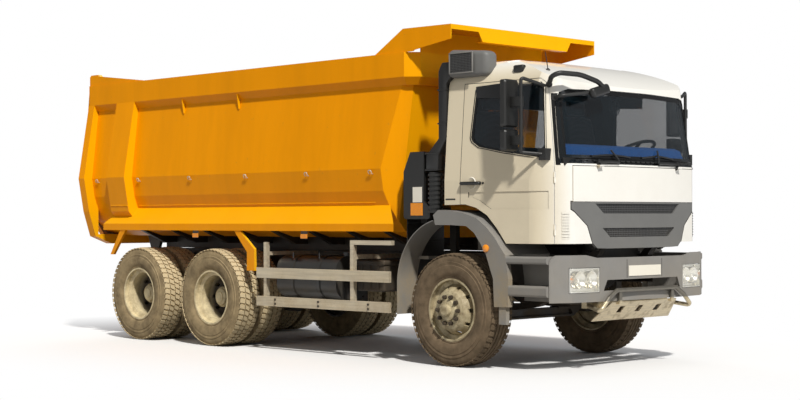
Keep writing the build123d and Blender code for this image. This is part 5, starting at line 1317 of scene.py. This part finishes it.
class TRUCK_OT_chassis_trim(bpy.types.Operator):
    """Build the splash panels, valve box, tank straps, lamps, lenses and bolt heads"""

    bl_idname = "truck.chassis_trim"
    bl_label = "Chassis trim"

    drier = ((0.0, 0.0), (0.0, 0.055), (0.012, 0.064), (0.150, 0.064), (0.156, 0.070),
             (0.170, 0.070), (0.176, 0.060), (0.205, 0.045), (0.215, 0.0))
    tank_arcs = ((-0.83, 0.86), (-0.97, 0.86), (-0.97, 0.72), (-0.83, 0.72))
    tank_round, strap_thick = 0.15, 0.0035
    strap_places, arc_steps = (-2.342, -1.933), 8
    marker_place = (0.47, 1.12)
    marker = ((-0.004, 0.0), (-0.004, 0.036), (0.010, 0.036), (0.019, 0.028), (0.024, 0.0))
    rear_panes = {"red": (0.608, 0.690), "amber": (0.694, 0.736), "plate": (0.740, 0.782)}
    rear_heights, behind = (0.797, 0.873), -6.4
    rail_bolts, rail_start, rail_pitch = 22, -5.45, 0.262
    rail_heights, rail_side = (0.86, 0.99), 0.36
    guard_posts = (-2.52, -1.10, -1.84)

    def execute(self, context):
        self.splash_panels()
        self.valve_box()
        self.straps()
        self.markers()
        self.rear_lamps()
        self.bolts(context.scene.truck_trim.bolt_size)
        return {"FINISHED"}

    def splash_panels(self):
        """Black splash panels between the frame and the rear of each front arch."""
        mesh = bmesh.new()
        frame_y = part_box("ladder_frame")[1].y
        for sign in sides.values():
            y0, y1 = sorted((sign * (frame_y - 0.03), sign * 1.02))
            add_block(mesh, at(-0.738, y0, 0.86), at(-0.730, y1, 1.60), bevel=0.002)
            for z in (1.00, 1.18, 1.36, 1.54):
                add_block(mesh, at(-0.742, y0, z - 0.012), at(-0.724, y1, z + 0.012), bevel=0.005)
        new_object("splash_panels", mesh, body="chassis")

    def valve_box(self):
        """Air drier and valve box on the frame between the right tank and the front arch."""
        mesh = bmesh.new()
        frame_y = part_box("ladder_frame")[1].y
        add_block(mesh, at(-1.54, -0.94, 0.66), at(-1.14, -0.50, 0.965), bevel=0.020, segments=3)
        add_block(mesh, at(-1.555, -0.955, 0.925), at(-1.125, -0.49, 0.975), 0.016, segments=3)
        for x in (-1.46, -1.34, -1.22):
            add_block(mesh, at(x - 0.012, -0.948, 0.68), at(x + 0.012, -0.93, 0.93), bevel=0.005)
        for x in (-1.48, -1.20):
            add_block(mesh, at(x - 0.03, -0.56, 0.78), at(x + 0.03, -frame_y + 0.02, 0.86),
                      bevel=0.006)
        new_object("valve_box", mesh, "chassis", "chassis")
        mesh = bmesh.new()
        add_turned(mesh, self.drier, at(-1.03, -0.70, 0.70), (0, 0, 1), 32)
        add_block(mesh, at(-1.15, -0.74, 0.76), at(-1.05, -0.66, 0.80), bevel=0.006)
        new_object("air_drier", mesh, "aluminium", "chassis")

    def straps(self):
        """Steel straps round the fuel tank over rubber strips, each drawn tight by a bolt."""
        steel, rubber = bmesh.new(), bmesh.new()
        spots = [(middle, radians(90 * (number + step / self.arc_steps)))
                 for number, middle in enumerate(self.tank_arcs)
                 for step in range(self.arc_steps + 1)]
        for x in self.strap_places:
            for mesh, gap, half in ((rubber, 0.0015, 0.030), (steel, 0.004, 0.021)):
                near, far = ([(y + (self.tank_round + grow) * cos(turn),
                               z + (self.tank_round + grow) * sin(turn)) for (y, z), turn in spots]
                             for grow in (gap, gap + self.strap_thick))
                rings = [[mesh.verts.new(at(x + shift, y, z)) for y, z in loop] for loop, shift in (
                    (near, -half), (far, -half), (far, half), (near, half))]
                for ring, after in zip(rings, rings[1:] + rings[:1]):
                    for corners in zip(ring, ring[1:] + ring[:1], after[1:] + after[:1], after):
                        mesh.faces.new(corners)
            add_bar(steel, at(x, -1.10, 0.985), at(x, -1.10, 1.045), 0.007, 10)
        new_object("tank_straps", steel, "tank", "chassis")
        new_object("tank_strap_rubbers", rubber, body="chassis")

    def markers(self):
        """Amber markers on the front arches and the two plates on the filter's housing."""
        amber, pale = bmesh.new(), bmesh.new()
        for sign in sides.values():
            place = touch(("front_arches",), side_point(*self.marker_place, sign), (0, -sign, 0))
            add_turned(amber, self.marker, place, (0, sign, 0), 28)
        for mesh, x0, x1, z0, z1 in ((pale, -0.571, -0.449, 1.552, 1.700),
                                     (amber, -0.600, -0.440, 1.425, 1.545)):
            lines = [[(x, z) for x in (x0, x1)] for z in (z0, z1)]
            lay_on_side(mesh, ("air_filter",), lines, -1, 0.005, steps=3)
        new_object("marker_lamps", amber, "amber", "chassis")
        new_object("filter_plate_blank", pale, "plate", "chassis", None)

    def rear_lamps(self):
        """Red, amber and clear lenses on the rear lamp boxes."""
        for finish, span in self.rear_panes.items():
            mesh = bmesh.new()
            for sign in sides.values():
                lines = [[at(self.behind, sign * y, z) for y in span] for z in self.rear_heights]
                add_laid_band(mesh, ("rear_bar",), *lines, (1, 0, 0), 0.008, steps=2)
            new_object(f"rear_lenses_{finish}", mesh, finish, "chassis")

    def bolts(self, width):
        """Bolt heads along the frame's side rails and on the side guard's posts."""
        mesh = bmesh.new()
        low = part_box("side_guards")[0].z
        starts = [("ladder_frame", at(self.rail_start + number * self.rail_pitch, sign * 0.66, z),
                   sign, width)
                  for sign in sides.values() for number in range(self.rail_bolts)
                  for z in self.rail_heights]
        starts += [("side_guards", side_point(x, z + shift, sign), sign, width * 0.8)
                   for sign in sides.values() for x in self.guard_posts
                   for z in (low + 0.05, low + 0.44) for shift in (-0.022, 0.022)]
        for name, start, sign, size in starts:
            try:
                place = touch((name,), start, (0, -sign, 0))
            except ValueError:
                continue
            if abs(place.y) >= self.rail_side:
                add_hex(mesh, place, (0, sign, 0), size, size * 0.5)
        new_object("bolt_heads", mesh, "chassis", "chassis", 30)


# ---------------------------------------------------------------- stage
class TRUCK_OT_stage(bpy.types.Operator):
    """Build the floor, the lights and the camera"""

    bl_idname = "truck.stage"
    bl_label = "Stage"

    focal_pixels = 1570.6
    image_width, image_height = 800, 400
    azimuth, elevation, roll = 45.21, -0.38, -0.17
    optical_centre = (403.0, 207.7)
    eye = (10.16, -11.89, 1.40)
    aim = (-1.5, 0, 1.3)
    lamps = (("key", "SUN", 3.8, (9.0, -5.6, 13.4), 0.06, (1.0, 0.97, 0.92)),
             ("front_fill", "AREA", 280, (14.0, 3.0, 4.0), 6.0, (0.94, 0.97, 1.0)),
             ("side_fill", "AREA", 110, (-3.0, -14.0, 5.0), 7.0, (1.0, 0.94, 0.82)),
             ("rear_fill", "AREA", 420, (-12.0, 7.0, 8.0), 6.0, (0.95, 0.97, 1.0)))

    def execute(self, context):
        self.backdrop(context)
        self.camera(context)
        self.world(context)
        self.lights(context)
        context.scene.view_settings.view_transform = "Standard"
        return {"FINISHED"}

    def backdrop(self, context):
        """One pale sheet under the truck that fades to white away from it in what the eye sees."""
        material = bpy.data.materials.new("pale_floor")
        tree = cleared_tree(material)
        pale = add(tree, "BsdfDiffuse", {"Color": (0.84, 0.84, 0.84, 1)})
        quiet = add(tree, "BsdfDiffuse", {"Color": (0.34, 0.33, 0.32, 1)})
        white = add(tree, "Emission", {"Color": (1, 1, 1, 1), "Strength": 1.0})
        place = add(tree, "TexCoord").outputs["Object"]
        shrunk = add(tree, "Mapping", {"Vector": place, "Scale": (0.6, 1.0, 0.0)})
        reach = add(tree, "VectorMath", {0: shrunk.outputs[0]}, operation="LENGTH")
        away = add(tree, "MapRange", {"Value": reach.outputs["Value"], "From Min": 1.7,
                                      "From Max": 4.4}, interpolation_type="SMOOTHSTEP")
        rays = add(tree, "LightPath").outputs
        seen = add(tree, "Math", {0: rays["Is Camera Ray"], 1: rays["Is Glossy Ray"]},
                   operation="MAXIMUM")
        shown = add(tree, "Math", {0: seen.outputs[0], 1: rays["Is Transmission Ray"]},
                    operation="MAXIMUM")
        share = add(tree, "Math", {0: away.outputs[0], 1: shown.outputs[0]}, operation="MULTIPLY")
        ground = add(tree, "MixShader", {0: shown.outputs[0], 1: quiet.outputs[0],
                                         2: pale.outputs[0]})
        mixed = add(tree, "MixShader", {0: share.outputs[0], 1: ground.outputs[0],
                                        2: white.outputs[0]})
        add(tree, "OutputMaterial", {0: mixed.outputs[0]})
        mesh = bmesh.new()
        bmesh.ops.create_grid(mesh, x_segments=1, y_segments=1, size=60)
        data = bpy.data.meshes.new("studio_floor")
        mesh.to_mesh(data)
        mesh.free()
        data.materials.append(material)
        floor = bpy.data.objects.new("studio_floor", data)
        context.collection.objects.link(floor)

    def camera(self, context):
        """The camera at its eye point, turned by three angles, its optical centre shifted."""
        az, el, roll = radians(self.azimuth), radians(self.elevation), radians(self.roll)
        forward = Vector((-sin(az) * cos(el), cos(az) * cos(el), -sin(el)))
        right = Vector((cos(az), sin(az), 0))
        up = right.cross(forward)
        right, up = right * cos(roll) + up * sin(roll), up * cos(roll) - right * sin(roll)
        data = bpy.data.cameras.new("camera")
        data.sensor_width = 36.0
        data.lens = self.focal_pixels * data.sensor_width / self.image_width
        data.shift_x = (self.image_width / 2 - self.optical_centre[0]) / self.image_width
        data.shift_y = (self.optical_centre[1] - self.image_height / 2) / self.image_width
        data.clip_end = 200.0
        camera = bpy.data.objects.new("camera", data)
        turn = Matrix((right, up, -forward)).transposed().to_4x4()
        camera.matrix_world = Matrix.Translation(at(*self.eye)) @ turn
        context.collection.objects.link(camera)
        context.scene.camera = camera

    def world(self, context):
        """A world that shows white to the eye and lights the truck faintly from all round."""
        world = bpy.data.worlds.new("studio")
        tree = cleared_tree(world)
        rays = add(tree, "LightPath").outputs
        seen = add(tree, "Math", {0: rays["Is Camera Ray"], 1: rays["Is Transmission Ray"]},
                   operation="MAXIMUM", use_clamp=True)
        lit = add(tree, "Background", {"Color": (0.92, 0.95, 1.0, 1), "Strength": 0.27})
        shown = add(tree, "Background", {"Color": (1, 1, 1, 1), "Strength": 1.0})
        mixed = add(tree, "MixShader", {0: seen.outputs[0], 1: lit.outputs[0],
                                        2: shown.outputs[0]})
        add(tree, "OutputWorld", {0: mixed.outputs[0]})
        context.scene.world = world

    def lights(self, context):
        """A sun from the front right and weak fills on the other sides."""
        for name, kind, energy, place, size, tint in self.lamps:
            data = bpy.data.lights.new(name, kind)
            data.energy = energy
            data.color = tint
            setattr(data, "angle" if kind == "SUN" else "size", size)
            lamp = bpy.data.objects.new(name, data)
            turn = (at(*self.aim) - at(*place)).to_track_quat("-Z", "Y").to_matrix().to_4x4()
            lamp.matrix_world = Matrix.Translation(at(*place)) @ turn
            context.collection.objects.link(lamp)


class TRUCK_OT_finishes(bpy.types.Operator):
    """Make the materials and give every frame piece its own"""

    bl_idname = "truck.finishes"
    bl_label = "Finishes"

    def execute(self, context):
        make_finishes()
        for name, piece in nodes.items():
            for slot in piece.material_slots:
                slot.material = finish_of(name)
        return {"FINISHED"}


# ---------------------------------------------------------------- panel and run
build_order = (TRUCK_OT_finishes, TRUCK_OT_stage, TRUCK_OT_tyres, TRUCK_OT_wheel_trim,
               TRUCK_OT_windscreen_trim, TRUCK_OT_cab_fittings, TRUCK_OT_door_fittings,
               TRUCK_OT_cab_inside, TRUCK_OT_front_trim, TRUCK_OT_bed_trim,
               TRUCK_OT_chassis_trim)
setting_groups = {"truck_paint": PaintSettings, "truck_tyres": TyreSettings,
                  "truck_trim": TrimSettings}


class TRUCK_PT_build(bpy.types.Panel):
    """Lists the settings and the pieces in the order they are built"""

    bl_label = "Dump truck"
    bl_space_type = "VIEW_3D"
    bl_region_type = "UI"
    bl_category = "Dump truck"

    def draw(self, context):
        for group in setting_groups:
            settings = getattr(context.scene, group)
            for name in settings.bl_rna.properties.keys():
                if name not in ("rna_type", "name"):
                    self.layout.prop(settings, name)
        for operator in build_order:
            self.layout.operator(operator.bl_idname)


def register():
    """Registers the classes and hangs the settings on the scene."""
    for group in (*setting_groups.values(), *build_order, TRUCK_PT_build):
        bpy.utils.register_class(group)
    for name, group in setting_groups.items():
        setattr(bpy.types.Scene, name, bpy.props.PointerProperty(type=group))


def unregister():
    """Takes the settings and the classes away again."""
    for name in setting_groups:
        delattr(bpy.types.Scene, name)
    for group in (TRUCK_PT_build, *reversed(build_order), *setting_groups.values()):
        bpy.utils.unregister_class(group)


def main():
    """Builds every piece in order."""
    register()
    for operator in build_order:
        category, name = operator.bl_idname.split(".")
        getattr(getattr(bpy.ops, category), name)()


if __name__ == "__main__":
    main()
